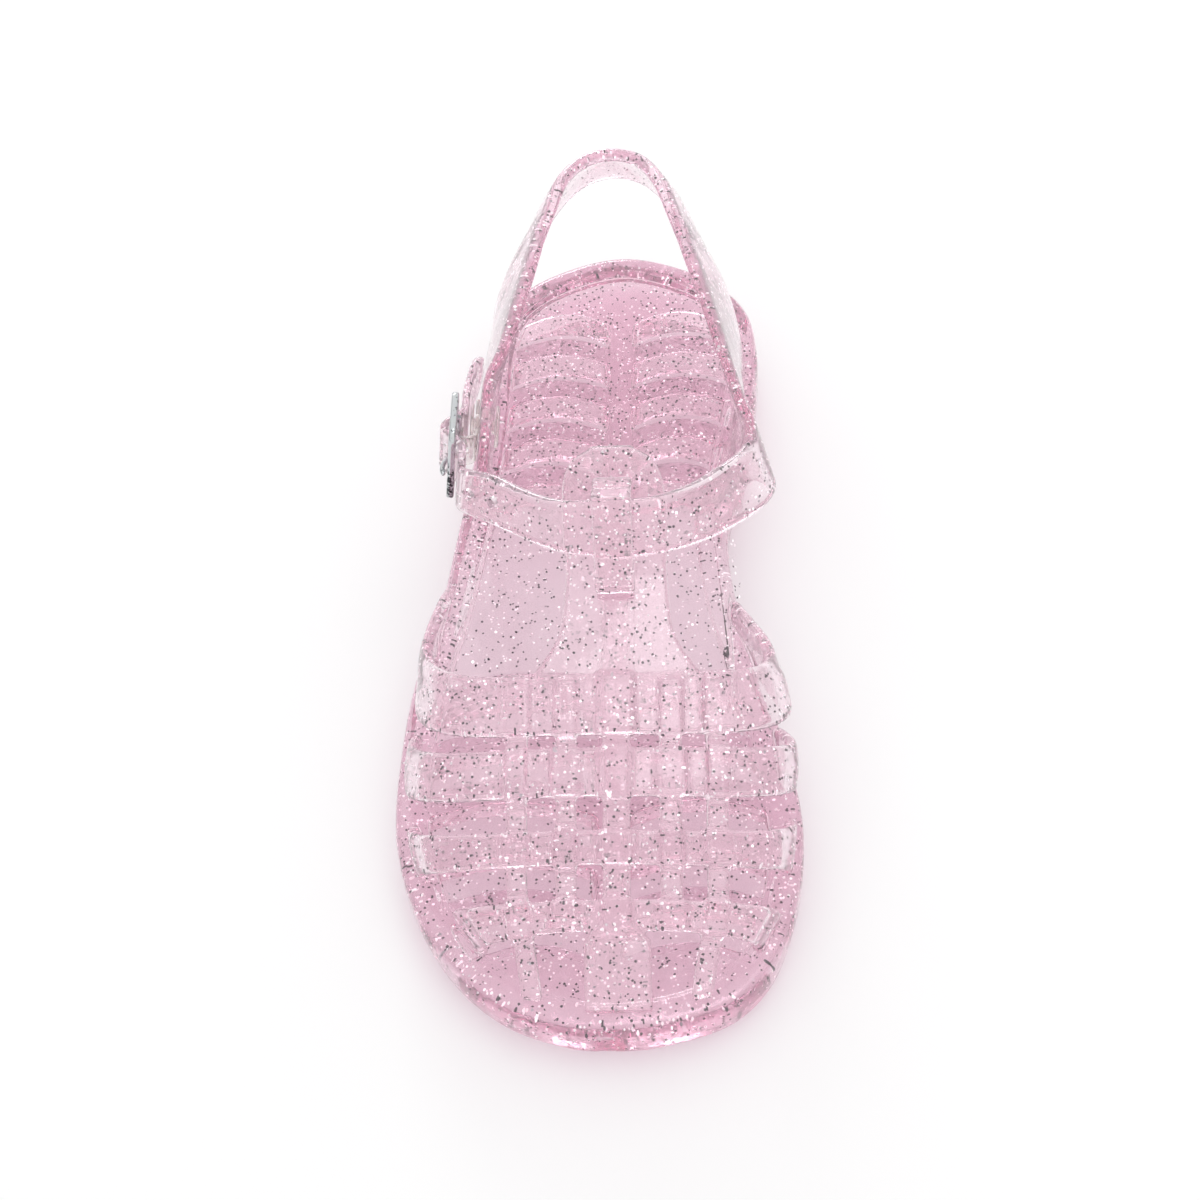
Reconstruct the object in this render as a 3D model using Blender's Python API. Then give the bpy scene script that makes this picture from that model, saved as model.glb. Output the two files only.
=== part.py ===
"""Jelly sandal for a child's right foot: a moulded sole, a woven toe cage with a T-bar, and a heel
strap that runs on as the ankle strap, closed by a small metal buckle on the outer side.

Toe towards -Y, heel towards +Y, inner side of the foot towards +X, floor at z = 0. Sizes in the
tables are millimetres, measured from the line that the heel and the toe tip lie on; the finished
shoe is moved sideways so that the middle of its box is the origin.
"""

import math
from collections import namedtuple

import bmesh
import bpy
import numpy as np

MM = 0.001
GAP = 0.3

# Driving sizes
SOLE_LENGTH = 160.0
BALL_WIDTH = 64.8
STRAP_WALL = 2.0
RAISE = 0.9

# Sole outline: back is the place along the foot as a share of half the length, the other two are
# shares of the ball width
OutlineRow = namedtuple("OutlineRow", "back lateral medial")
OUTLINE = [
    OutlineRow(0.944, 0.212, 0.210),
    OutlineRow(0.840, 0.342, 0.342),
    OutlineRow(0.712, 0.380, 0.380),
    OutlineRow(0.529, 0.385, 0.369),
    OutlineRow(0.353, 0.400, 0.329),
    OutlineRow(0.176, 0.427, 0.294),
    OutlineRow(0.000, 0.456, 0.316),
    OutlineRow(-0.202, 0.510, 0.380),
    OutlineRow(-0.378, 0.529, 0.437),
    OutlineRow(-0.529, 0.528, 0.467),
    OutlineRow(-0.655, 0.496, 0.461),
    OutlineRow(-0.768, 0.438, 0.432),
    OutlineRow(-0.869, 0.352, 0.381),
    OutlineRow(-0.948, 0.235, 0.285),
    OutlineRow(-0.992, 0.095, 0.128),
]

# Side profile of the sole: floor side and top side above the ground
ProfileRow = namedtuple("ProfileRow", "along under top")
PROFILE = [
    ProfileRow(80.0, 0.6, 11.9),
    ProfileRow(73.0, 0.0, 11.9),
    ProfileRow(31.0, 0.0, 11.3),
    ProfileRow(11.0, 1.5, 10.7),
    ProfileRow(-7.0, 1.5, 10.2),
    ProfileRow(-22.0, 0.0, 9.6),
    ProfileRow(-56.0, 0.0, 8.8),
    ProfileRow(-69.0, 0.8, 9.0),
    ProfileRow(-80.0, 1.8, 9.7),
]

# Side wall of the sole, from the floor up: inset from the outline, share of the height
WallRow = namedtuple("WallRow", "inset share")
WALL = [
    WallRow(1.4, 0.00),
    WallRow(0.5, 0.09),
    WallRow(0.3, 0.36),
    WallRow(0.0, 0.42),
    WallRow(0.0, 0.78),
    WallRow(0.5, 0.94),
    WallRow(1.2, 1.00),
]
OUTLINE_STEPS = 3
RIM_WIDTH = 4.6
FOOTBED_DROP = 0.9

# Underside: waved ribs and a middle spine left standing between pockets
RIB_PITCH = 10.0
RIB_WIDTH = 3.4
SPINE_WIDTH = 3.4
SIDE_WALL = 3.8
PLATE = 3.6
ARCH_PLATE = 2.4
WAVE = 3.0
RIB_FIELDS = [(-66.0, 6), (29.0, 4)]
ARCH_POCKET = (-2.5, 25.0)

# Toe cage surface, one row for each strap edge from the toe to the collar: middle of the row, its
# two feet on the rim, and how far each side bulges over its foot
CageRow = namedtuple("CageRow", "y z lat_x lat_y med_x med_y lat_out med_out")
CAGE = [
    CageRow(-77.6, 10.0, -17.0, -71.5, 21.0, -71.0, 0.0, 0.0),
    CageRow(-74.0, 14.0, -18.0, -69.6, 22.2, -69.2, 0.0, 0.0),
    CageRow(-67.5, 17.5, -19.5, -67.0, 23.6, -66.9, 0.0, 0.0),
    CageRow(-63.2, 19.5, -24.0, -59.5, 26.8, -60.0, 0.2, 0.2),
    CageRow(-58.3, 21.5, -29.4, -53.0, 28.4, -52.8, 0.4, 0.8),
    CageRow(-53.4, 23.4, -31.8, -43.2, 29.2, -43.2, 0.4, 1.5),
    CageRow(-48.5, 25.2, -32.3, -36.8, 28.8, -36.8, 0.5, 3.0),
    CageRow(-41.2, 27.5, -32.3, -25.6, 27.2, -25.6, 0.8, 6.0),
    CageRow(-39.3, 28.2, -31.4, -16.5, 25.2, -16.0, 1.6, 8.0),
    CageRow(-30.0, 31.0, -28.6, 4.0, 20.6, -0.5, 4.0, 10.0),
    CageRow(-22.0, 33.2, -24.4, 12.0, 28.6, 12.0, 0.0, 0.0),
    CageRow(-17.0, 34.8, -24.4, 17.0, 28.6, 17.0, 0.0, 0.0),
    CageRow(-13.6, 36.2, -24.4, 20.0, 28.6, 20.0, 0.0, 0.0),
    CageRow(-11.4, 38.3, -24.4, 22.0, 28.6, 22.0, 0.0, 0.0),
    CageRow(-6.8, 46.5, -24.4, 27.0, 28.6, 27.0, 0.0, 0.0),
    CageRow(-3.3, 52.2, -24.4, 31.0, 28.6, 31.0, 0.0, 0.0),
]
ARCH_POWER = 2.35
FORWARD_POWER = 1.3
FOOT_RISE = 0.35
FOOT_LIFT = 0.25

# Straps across the toe, front and back edge at the middle, and the long ones, with their places
CrossStrap = namedtuple("CrossStrap", "front back")
CROSS = [
    CrossStrap(-67.5, -63.2),
    CrossStrap(-58.3, -53.4),
    CrossStrap(-48.5, -41.2),
    CrossStrap(-39.3, -30.0),
]
LongStrap = namedtuple("LongStrap", "x toe_x width front back over_even")
LONG = [
    LongStrap(-13.2, -11.1, 3.2, -76.4, -35.0, True),
    LongStrap(-5.6, -5.6, 3.2, -67.0, -31.0, False),
    LongStrap(2.1, 2.1, 4.2, -77.5, -35.0, True),
    LongStrap(10.4, 10.2, 3.4, -67.0, -31.0, False),
    LongStrap(17.5, 14.8, 3.3, -76.4, -35.0, True),
]
TOE_TAB_WIDTH = 10.2

# T-bar: half width at each place along its middle
BAR_X = 2.1
BarRow = namedtuple("BarRow", "y half")
BAR = [
    BarRow(-35.0, 13.0),
    BarRow(-30.6, 13.0),
    BarRow(-28.6, 12.0),
    BarRow(-25.8, 10.1),
    BarRow(-22.5, 8.9),
    BarRow(-18.0, 8.3),
    BarRow(-13.0, 8.0),
    BarRow(-9.5, 8.0),
    BarRow(-6.5, 8.0),
    BarRow(-4.9, 7.3),
    BarRow(-4.0, 6.2),
    BarRow(-3.35, 3.6),
]
LOOP_WIDTH = 6.1
LOOP_WALL = 1.7
LOOP_ROOM = 0.75

# Heel and ankle strap, one row after another from its front end on the outer side, round the heel
# and across the instep: lower and upper edge of the outer face, bulge between them, thickness
StrapRow = namedtuple("StrapRow", "low high belly wall")
STRAP = [
    StrapRow((-20.95, 3.0, 35.4), (-20.0, 3.0, 41.6), 0.0, 1.9),
    StrapRow((-21.2, 6.0, 32.8), (-19.7, 6.0, 44.0), 0.0, 2.0),
    StrapRow((-21.7, 10.0, 29.3), (-19.55, 10.5, 44.7), 0.0, 2.0),
    StrapRow((-22.9, 14.5, 21.5), (-19.55, 15.5, 45.0), 0.0, 2.0),
    StrapRow((-23.9, 19.5, 12.0), (-19.2, 20.5, 45.0), 0.0, 2.1),
    StrapRow((-24.4, 27.0, 11.7), (-17.2, 27.0, 45.0), 1.2, 2.2),
    StrapRow((-23.9, 36.0, 11.7), (-15.4, 36.0, 45.0), 2.4, 2.3),
    StrapRow((-23.4, 45.5, 11.7), (-14.0, 43.0, 45.0), 2.4, 2.3),
    StrapRow((-22.8, 50.0, 15.0), (-13.1, 48.0, 45.0), 2.2, 2.3),
    StrapRow((-21.6, 54.0, 21.5), (-12.2, 52.5, 45.0), 1.8, 2.3),
    StrapRow((-17.2, 60.5, 29.5), (-10.8, 58.4, 45.0), 1.0, 2.3),
    StrapRow((-12.2, 69.4, 33.4), (-8.7, 66.4, 45.0), 0.6, 2.3),
    StrapRow((-6.5, 75.3, 35.4), (-4.9, 71.3, 45.0), 0.4, 2.3),
    StrapRow((0.3, 77.3, 36.0), (0.2, 72.9, 45.0), 0.3, 2.3),
    StrapRow((7.0, 75.0, 35.4), (5.4, 71.0, 45.0), 0.4, 2.3),
    StrapRow((12.7, 68.4, 33.4), (9.1, 65.2, 45.0), 0.6, 2.3),
    StrapRow((17.0, 59.5, 29.3), (11.8, 56.5, 45.0), 1.0, 2.3),
    StrapRow((20.4, 54.0, 21.5), (13.4, 51.0, 45.0), 1.8, 2.3),
    StrapRow((22.0, 50.0, 15.0), (14.3, 47.6, 45.0), 2.2, 2.3),
    StrapRow((22.4, 45.5, 11.7), (15.5, 43.0, 45.0), 2.4, 2.3),
    StrapRow((21.4, 36.0, 11.7), (17.3, 36.0, 45.0), 2.8, 2.3),
    StrapRow((19.3, 27.0, 11.7), (19.4, 27.0, 45.0), 3.2, 2.2),
    StrapRow((18.2, 19.5, 12.0), (21.0, 20.5, 44.9), 2.8, 2.1),
    StrapRow((21.8, 14.0, 22.0), (22.6, 14.2, 44.7), 1.6, 2.1),
    StrapRow((25.6, 9.6, 30.0), (24.0, 9.8, 44.3), 0.6, 2.0),
    StrapRow((27.5, 4.5, 33.4), (24.0, 6.0, 44.0), 0.3, 2.0),
    StrapRow((26.3, -0.1, 34.7), (22.5, 2.6, 44.2), 0.2, 2.0),
    StrapRow((22.6, -4.4, 35.6), (19.3, -0.8, 44.7), 0.2, 2.0),
    StrapRow((16.5, -10.2, 37.9), (14.1, -6.3, 46.6), 0.2, 2.0),
    StrapRow((9.4, -13.8, 39.3), (8.0, -9.8, 47.9), 0.2, 2.0),
    StrapRow((2.1, -14.5, 39.4), (2.1, -10.0, 47.8), 0.2, 2.0),
    StrapRow((-6.7, -13.0, 39.2), (-5.9, -9.5, 47.3), 0.2, 2.0),
    StrapRow((-13.6, -8.0, 37.2), (-12.2, -5.8, 45.6), 0.2, 2.0),
    StrapRow((-19.0, -2.8, 34.6), (-17.6, -1.2, 44.0), 0.2, 1.8),
]
# The same strap through the buckle, in the buckle's own axes: place along, outward, half width
ThreadRow = namedtuple("ThreadRow", "along out up half")
THREAD = [
    ThreadRow(-9.6, -2.1, 0.1, 5.1),
    ThreadRow(-6.6, -1.75, 0.0, 5.0),
    ThreadRow(-4.6, -1.65, 0.0, 5.0),
    ThreadRow(-3.6, -1.3, 0.0, 5.0),
    ThreadRow(-2.55, -0.4, 0.0, 5.0),
    ThreadRow(-1.45, 0.85, 0.0, 5.0),
    ThreadRow(0.0, 1.5, 0.0, 5.0),
    ThreadRow(1.45, 0.85, 0.0, 5.0),
    ThreadRow(2.55, -0.4, 0.0, 4.9),
    ThreadRow(3.6, -1.3, 0.1, 4.9),
    ThreadRow(4.6, -1.65, 0.2, 4.8),
    ThreadRow(8.0, -1.75, 0.5, 4.7),
    ThreadRow(13.0, -2.0, 1.0, 4.5),
    ThreadRow(15.2, -2.4, 1.3, 3.7),
    ThreadRow(16.4, -2.6, 1.4, 2.2),
]
THREAD_WALL = 1.3

# Buckle
BUCKLE_AT = (-24.9, 12.1, 36.8)
BUCKLE_LEAN = math.radians(8.0)
FRAME_LENGTH = 11.0
FRAME_HEIGHT = 16.4
FRAME_BAR = 1.4
FRAME_DEPTH = 1.2
FRAME_CORNER = 2.2
PIN_RADIUS = 0.45
PIN_DROP = -0.9
PRONG_RADIUS = 0.4
TAB_WALL = 0.6
TAB_HALF = 3.4
TAB_PATH = [
    (7.3, -3.7),
    (0.7, -3.7),
    (-0.4, -3.35),
    (-0.95, -2.3),
    (-1.0, -0.9),
    (-0.7, -0.2),
    (0.0, 0.1),
    (0.7, -0.2),
    (1.0, -0.9),
    (0.85, -1.5),
]
PRONG_PATH = [
    (1.1, -0.75),
    (0.95, -1.45),
    (0.3, -1.95),
    (-0.5, -1.88),
    (-1.1, -1.25),
    (-1.4, -0.4),
    (-2.3, 0.2),
    (-3.2, 0.8),
    (-4.2, 1.32),
    (-5.4, 1.4),
    (-6.1, 1.2),
]
RIVET_ALONG = 3.9
RIVET_UP = 0.7
RIVET_HEAD = 3.5
RIVET_SHANK = 1.2


def material(name, colour, roughness, metallic=0.0):
    made = bpy.data.materials.new(name)
    made.use_nodes = True
    shader = made.node_tree.nodes["Principled BSDF"]
    shader.inputs["Base Color"].default_value = (*colour, 1.0)
    shader.inputs["Roughness"].default_value = roughness
    shader.inputs["Metallic"].default_value = metallic
    return made


def smooth_rows(rows, steps):
    """Rows of numbers with steps points for each span, on a curve through every row."""
    rows = np.array(rows, float)
    slopes = np.gradient(rows, axis=0)
    found = []
    for i in range(len(rows) - 1):
        for t in np.arange(steps) / steps:
            a = 2 * t**3 - 3 * t**2 + 1
            b = t**3 - 2 * t**2 + t
            c = 3 * t**2 - 2 * t**3
            d = t**3 - t**2
            found.append(a * rows[i] + b * slopes[i] + c * rows[i + 1] + d * slopes[i + 1])
    found.append(rows[-1])
    return np.array(found)


def side_shift():
    across = outline_points(OUTLINE_STEPS)[:, 0]
    return -(across.min() + across.max()) / 2


def add_object(name, points, faces, shade, helper=False):
    mesh = bpy.data.meshes.new(name)
    moved = (np.array(points) + np.array([side_shift(), 0.0, 0.0])) * MM
    mesh.from_pydata([tuple(p) for p in moved], [], faces)
    work = bmesh.new()
    work.from_mesh(mesh)
    bmesh.ops.recalc_face_normals(work, faces=work.faces)
    work.to_mesh(mesh)
    work.free()
    mesh.shade_smooth()
    mesh.set_sharp_from_angle(angle=math.radians(35))
    mesh.materials.append(shade)
    made = bpy.data.objects.new(name, mesh)
    bpy.context.collection.objects.link(made)
    if helper:
        made.hide_render = True
        made.display_type = "WIRE"
    return made


def loft(name, sections, shade, closed=False, helper=False):
    """A closed solid through sections, each a ring of the same number of points."""
    count = len(sections[0])
    points = [p for ring in sections for p in ring]
    faces = []
    last = len(sections) if closed else len(sections) - 1
    for i in range(last):
        here = i * count
        there = (i + 1) % len(sections) * count
        for j in range(count):
            k = (j + 1) % count
            faces.append((here + j, here + k, there + k, there + j))
    if not closed:
        faces.append(tuple(range(count)))
        faces.append(tuple(range((len(sections) - 1) * count, len(sections) * count)))
    return add_object(name, points, faces, shade, helper)


def combine(target, other, operation, solver="EXACT"):
    step = target.modifiers.new(other.name, "BOOLEAN")
    step.operation = operation
    step.solver = solver
    step.object = other


def strap_ring(points, normals, below, above, edge=0.45, foot=False):
    """Ring of a strap's cross section: points run across it on its base surface. It stays above
    the sole's rim, and a foot lies flat just above it."""
    points = np.array(points)
    normals = np.array(normals)
    inner = points - normals * below
    outer = points + normals * above
    start = (points[1] - points[0]) / np.linalg.norm(points[1] - points[0])
    end = (points[-2] - points[-1]) / np.linalg.norm(points[-2] - points[-1])
    top = [outer[0] - normals[0] * edge, outer[0] + start * edge]
    top += list(outer[1:-1])
    top += [outer[-1] + end * edge, outer[-1] - normals[-1] * edge]
    ring = list(inner[::-1]) + top
    for point in ring:
        ground = profile_at(point[1])[1] + FOOT_RISE
        point[2] = ground if foot else max(point[2], ground + FOOT_LIFT)
    return ring


# Sole


def profile_at(y):
    along = [row.along for row in PROFILE][::-1]
    under = np.interp(y, along, [row.under for row in PROFILE][::-1])
    top = np.interp(y, along, [row.top for row in PROFILE][::-1])
    return under, top


def outline_points(steps):
    """Closed outline of the sole from the heel tip down the inner side and back up the outer."""
    half = SOLE_LENGTH / 2
    medial = [(row.medial * BALL_WIDTH, row.back * half) for row in OUTLINE]
    lateral = [(-row.lateral * BALL_WIDTH, row.back * half) for row in OUTLINE][::-1]
    loop = [(0.0, half)] + medial + [(0.8, -half)] + lateral
    wrapped = smooth_rows([loop[-1]] + loop + loop[:2], steps)
    return wrapped[steps:-steps - 1]


def inset_outline(outline, inset):
    after = np.roll(outline, -1, axis=0)
    before = np.roll(outline, 1, axis=0)
    run = after - before
    run /= np.linalg.norm(run, axis=1)[:, None]
    inward = np.stack([run[:, 1], -run[:, 0]], axis=1)
    return outline + inward * inset


def half_width(y, side, inset):
    """How far the outline reaches from the middle on one side at y, less an inset."""
    half = SOLE_LENGTH / 2
    back = [row.back * half for row in OUTLINE][::-1]
    share = [getattr(row, side) for row in OUTLINE][::-1]
    return np.interp(y, back, share) * BALL_WIDTH - inset


def build_sole(shade):
    outline = outline_points(OUTLINE_STEPS)
    count = len(outline)
    middle = count // 2
    rings = []
    for row in WALL:
        ring = inset_outline(outline, row.inset)
        under, top = profile_at(ring[:, 1])
        rings.append(np.column_stack([ring, under + (top - under) * row.share]))
    for inset, drop in ((RIM_WIDTH, 0.0), (RIM_WIDTH + 1.0, FOOTBED_DROP)):
        ring = inset_outline(outline, inset)
        rings.append(np.column_stack([ring, profile_at(ring[:, 1])[1] - drop]))
    points = [p for ring in rings for p in ring]
    faces = []
    for i in range(len(rings) - 1):
        for j in range(count):
            k = (j + 1) % count
            faces.append((i * count + j, i * count + k, (i + 1) * count + k, (i + 1) * count + j))
    # Each cap joins the two sides straight across, so that its flat spots stay flat
    for start in (0, (len(rings) - 1) * count):
        for j in range(middle):
            inner = (start + j, start + j + 1)
            outer = (start + (count - j - 1) % count, start + (count - j) % count)
            corners = list(dict.fromkeys((*inner, *outer)))
            faces.append(tuple(corners))
    sole = add_object("sole", points, faces, shade)
    combine(sole, build_pockets(shade), "DIFFERENCE")
    return sole


def pocket_outline(low, high, side):
    """Waved pocket between two ribs on one side of the spine, with its wall along the outline."""
    sign = 1 if side == "medial" else -1
    start = SPINE_WIDTH / 2
    found = []
    for y, order in ((low, 1), (high, -1)):
        reach = half_width(y, side, SIDE_WALL)
        row = []
        for share in np.linspace(0.0, 1.0, 6):
            x = start + (reach - start) * share
            row.append((sign * x, y + WAVE * math.sin(math.pi * share)))
        found += row[::order]
    return found


def build_pockets(shade):
    points = []
    faces = []
    spans = [(*ARCH_POCKET, ARCH_PLATE)]
    for start, number in RIB_FIELDS:
        for i in range(number):
            low = start + i * RIB_PITCH
            spans.append((low, low + RIB_PITCH - RIB_WIDTH, PLATE))
    for low, high, plate in spans:
        roof = profile_at((low + high) / 2)[1] - FOOTBED_DROP - plate
        for side in ("lateral", "medial"):
            ring = pocket_outline(low, high, side)
            start = len(points)
            number = len(ring)
            points += [(x, y, -2.0) for x, y in ring]
            points += [(x, y, roof) for x, y in ring]
            faces.append(tuple(range(start, start + number)))
            faces.append(tuple(range(start + number, start + 2 * number)))
            for j in range(number):
                k = (j + 1) % number
                faces.append((start + j, start + k, start + number + k, start + number + j))
    return add_object("sole_pockets", points, faces, shade, helper=True)


# Toe cage and T-bar


def cage_row(y):
    rows = np.array(CAGE)
    i = int(np.clip(np.searchsorted(rows[:, 0], y) - 1, 0, len(rows) - 2))
    slopes = np.gradient(rows, rows[:, 0], axis=0)
    span = rows[i + 1, 0] - rows[i, 0]
    t = (y - rows[i, 0]) / span
    a = 2 * t**3 - 3 * t**2 + 1
    b = (t**3 - 2 * t**2 + t) * span
    c = 3 * t**2 - 2 * t**3
    d = (t**3 - t**2) * span
    return CageRow(*(a * rows[i] + b * slopes[i] + c * rows[i + 1] + d * slopes[i + 1]))


def cage_point(y, turn):
    """Point of the cage surface: turn runs from 0 at the inner foot to pi at the outer one."""
    row = cage_row(y)
    lean = math.cos(turn)
    rise = max(math.sin(turn), 0.0) ** (2 / ARCH_POWER)
    side = math.copysign(abs(lean) ** (2 / ARCH_POWER), lean)
    if lean > 0:
        foot_x, foot_y, out = row.med_x, row.med_y, row.med_out
    else:
        foot_x, foot_y, out = row.lat_x, row.lat_y, -row.lat_out
    middle = (row.med_x + row.lat_x) / 2
    ground = profile_at(foot_y)[1] + FOOT_RISE
    x = middle + abs(side) * (foot_x - middle) + out * abs(math.sin(2 * turn))
    forward = 1 - (1 - min(rise, 1.0)) ** FORWARD_POWER
    return np.array([x, foot_y + (y - foot_y) * forward, ground + (row.z - ground) * rise])


def cage_normal(y, turn):
    step = 0.02
    turn = min(max(turn, 0.03), math.pi - 0.03)
    across = cage_point(y, turn + step) - cage_point(y, turn - step)
    along = cage_point(y + step * 10, turn) - cage_point(y - step * 10, turn)
    normal = np.cross(along, across)
    return normal / np.linalg.norm(normal)


def turn_at(y, x):
    """The turn at which the surface row through y reaches x."""
    low, high = 0.05, math.pi - 0.05
    for _ in range(30):
        half = (low + high) / 2
        if cage_point(y, half)[0] > x:
            low = half
        else:
            high = half
    return (low + high) / 2


def bump(place, centre, half):
    """1 over a crossing, easing to 0 just outside it."""
    t = np.clip((half + 1.1 - abs(place - centre)) / 1.1, 0.0, 1.0)
    return t * t * (3 - 2 * t)


def long_x(strap, y):
    return float(np.interp(y, [-76.0, -62.0], [strap.toe_x, strap.x]))


def long_half(strap, y):
    wide = TOE_TAB_WIDTH / 2 if strap.toe_x == strap.x == BAR_X else strap.width / 2
    return float(np.interp(y, [-68.6, -66.6], [wide, strap.width / 2]))


def cross_places(strap):
    """Turns of a cross strap's sections: each entry gives the turn at any y of its width. Between
    the outermost long straps a section keeps one x, beyond them it fans out to the foot."""
    middle = (strap.front + strap.back) / 2
    edges = []
    for long in LONG:
        half = long.width / 2
        centre = long_x(long, middle)
        edges += [centre - half - 1.1, centre - half, centre + half, centre + half + 1.1]
    shares = np.linspace(0.0, 0.9, 7)
    right, left = max(edges), min(edges)
    found = [lambda y, s=share: s * turn_at(y, right) for share in shares]
    found += [lambda y, x=place: turn_at(y, x) for place in sorted(edges, reverse=True)]
    found += [lambda y, s=share: math.pi - s * (math.pi - turn_at(y, left)) for share in shares[::-1]]
    return found


def build_cross(index, shade):
    strap = CROSS[index]
    middle = (strap.front + strap.back) / 2
    ys = np.linspace(strap.front, strap.back, 3)
    rings = []
    places = cross_places(strap)
    for number, place in enumerate(places):
        x = cage_point(middle, place(middle))[0]
        lift = 0.0
        for long in LONG:
            if long.over_even == (index % 2 == 1):
                lift = max(lift, bump(x, long_x(long, middle), long.width / 2))
        points = [cage_point(y, place(y)) for y in ys]
        normals = [cage_normal(y, place(y)) for y in ys]
        foot = number in (0, len(places) - 1)
        rings.append(strap_ring(points, normals, STRAP_WALL, lift * RAISE, foot=foot))
    return loft(f"cross_{index}", rings, shade, helper=index < len(CROSS) - 1)


def build_long(index, shade):
    strap = LONG[index]
    edges = {strap.front, strap.back}
    for cross in CROSS:
        edges.update((cross.front - 1.2, cross.front, cross.back, cross.back + 1.2))
        edges.add((cross.front + cross.back) / 2)
    edges.update((-75.0, -72.0, -69.2, -68.6))
    rings = []
    for y in sorted(e for e in edges if strap.front <= e <= strap.back):
        lift = -0.35
        for number, cross in enumerate(CROSS):
            if strap.over_even == (number % 2 == 0):
                centre = (cross.front + cross.back) / 2
                rise = bump(y, centre, (cross.back - cross.front) / 2)
                lift = max(lift, rise * (RAISE + 0.35) - 0.35)
        half = long_half(strap, y)
        centre = long_x(strap, y)
        turns = [turn_at(y, centre + side * half) for side in (1, 0, -1)]
        points = [cage_point(y, turn) for turn in turns]
        normals = [cage_normal(y, turn) for turn in turns]
        rings.append(strap_ring(points, normals, STRAP_WALL - 0.15, lift, 0.35))
    return loft(f"long_{index}", rings, shade, helper=True)


def build_bar(shade):
    rings = []
    for y, half in smooth_rows(BAR, 2):
        turns = [turn_at(y, BAR_X + half * side) for side in np.linspace(1, -1, 5)]
        points = [cage_point(y, turn) for turn in turns]
        normals = [cage_normal(y, turn) for turn in turns]
        rings.append(strap_ring(points, normals, STRAP_WALL - 0.25, 0.12, 0.5))
    return loft("t_bar", rings, shade, helper=True)


def build_loop(shade):
    """Belt loop on the T-bar: a band that leaves it below the ankle strap and returns above."""
    strap = STRAP[[row.low[0] for row in STRAP].index(BAR_X)]
    low = np.array(strap.low)
    high = np.array(strap.high)
    up = (high - low) / np.linalg.norm(high - low)
    out = np.array([0.0, -up[2], up[1]])
    over = LOOP_ROOM + LOOP_WALL / 2
    path = [
        low - up * 2.6 - out * 3.0,
        low - up * 1.9 - out * 1.4,
        low - up * 1.3 + out * (over - 0.9),
        low + up * 0.6 + out * over,
        low * 0.5 + high * 0.5 + out * (over + 0.25),
        high - up * 0.6 + out * over,
        high + up * 1.3 + out * (over - 0.9),
        high + up * 1.9 - out * 1.4,
        high + up * 2.4 - out * 3.0,
    ]
    path = smooth_rows(path, 2)
    along = np.gradient(path, axis=0)
    rings = []
    for point, run in zip(path, along):
        normal = np.cross([1.0, 0.0, 0.0], run)
        normal /= -np.linalg.norm(normal)
        sides = [point + np.array([side * LOOP_WIDTH / 2, 0, 0]) for side in (-1, 0, 1)]
        rings.append(strap_ring(sides, [normal] * 3, LOOP_WALL / 2, LOOP_WALL / 2, 0.4))
    return loft("strap_loop", rings, shade, helper=True)


def build_upper(shade):
    upper = build_cross(len(CROSS) - 1, shade)
    upper.name = "upper"
    pieces = [build_long(index, shade) for index in range(len(LONG))]
    pieces += [build_cross(index, shade) for index in range(len(CROSS) - 1)][::-1]
    pieces += [build_bar(shade), build_loop(shade)]
    for piece in pieces:
        combine(upper, piece, "UNION", "MANIFOLD")
    return upper


# Heel and ankle strap


def buckle_point(along, out, up):
    """World place of a point given along the strap, outwards and up, from the buckle's middle."""
    lean = np.array([math.sin(BUCKLE_LEAN), 0.0, math.cos(BUCKLE_LEAN)])
    away = np.array([-math.cos(BUCKLE_LEAN), 0.0, math.sin(BUCKLE_LEAN)])
    return np.array(BUCKLE_AT) + np.array([0.0, along, 0.0]) + away * out + lean * up


def strap_table():
    rows = [(*row.low, *row.high, row.belly, row.wall) for row in STRAP]
    for row in THREAD:
        low = buckle_point(row.along, row.out + THREAD_WALL / 2, row.up - row.half)
        high = buckle_point(row.along, row.out + THREAD_WALL / 2, row.up + row.half)
        rows.append((*low, *high, 0.0, THREAD_WALL))
    return rows


def build_heel_strap(shade):
    rows = smooth_rows(strap_table(), 2)
    low, high = rows[:, 0:3], rows[:, 3:6]
    run = np.gradient((low + high) / 2, axis=0)
    heights = np.linspace(0.0, 1.0, 5)
    rings = []
    for i, row in enumerate(rows):
        up = high[i] - low[i]
        normal = np.cross(up, run[i])
        normal /= np.linalg.norm(normal)
        points = []
        for share in heights:
            point = low[i] + up * share + normal * row[6] * 4 * share * (1 - share)
            points.append(point - normal * row[7])
        rings.append(strap_ring(points, [normal] * len(points), 0.0, row[7], 0.4))
    strap = loft("heel_strap", rings, shade)
    combine(strap, rivet_cylinder("rivet_hole", RIVET_SHANK + GAP, -7.5, -3.0, shade), "DIFFERENCE")
    path = [(-1.1, -0.6, 0.0), (-3.5, 1.0, 0.0)]
    combine(strap, tube("prong_hole", path, PRONG_RADIUS + GAP, shade, helper=True), "DIFFERENCE")
    return strap


# Buckle, its tab and the rivet


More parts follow.
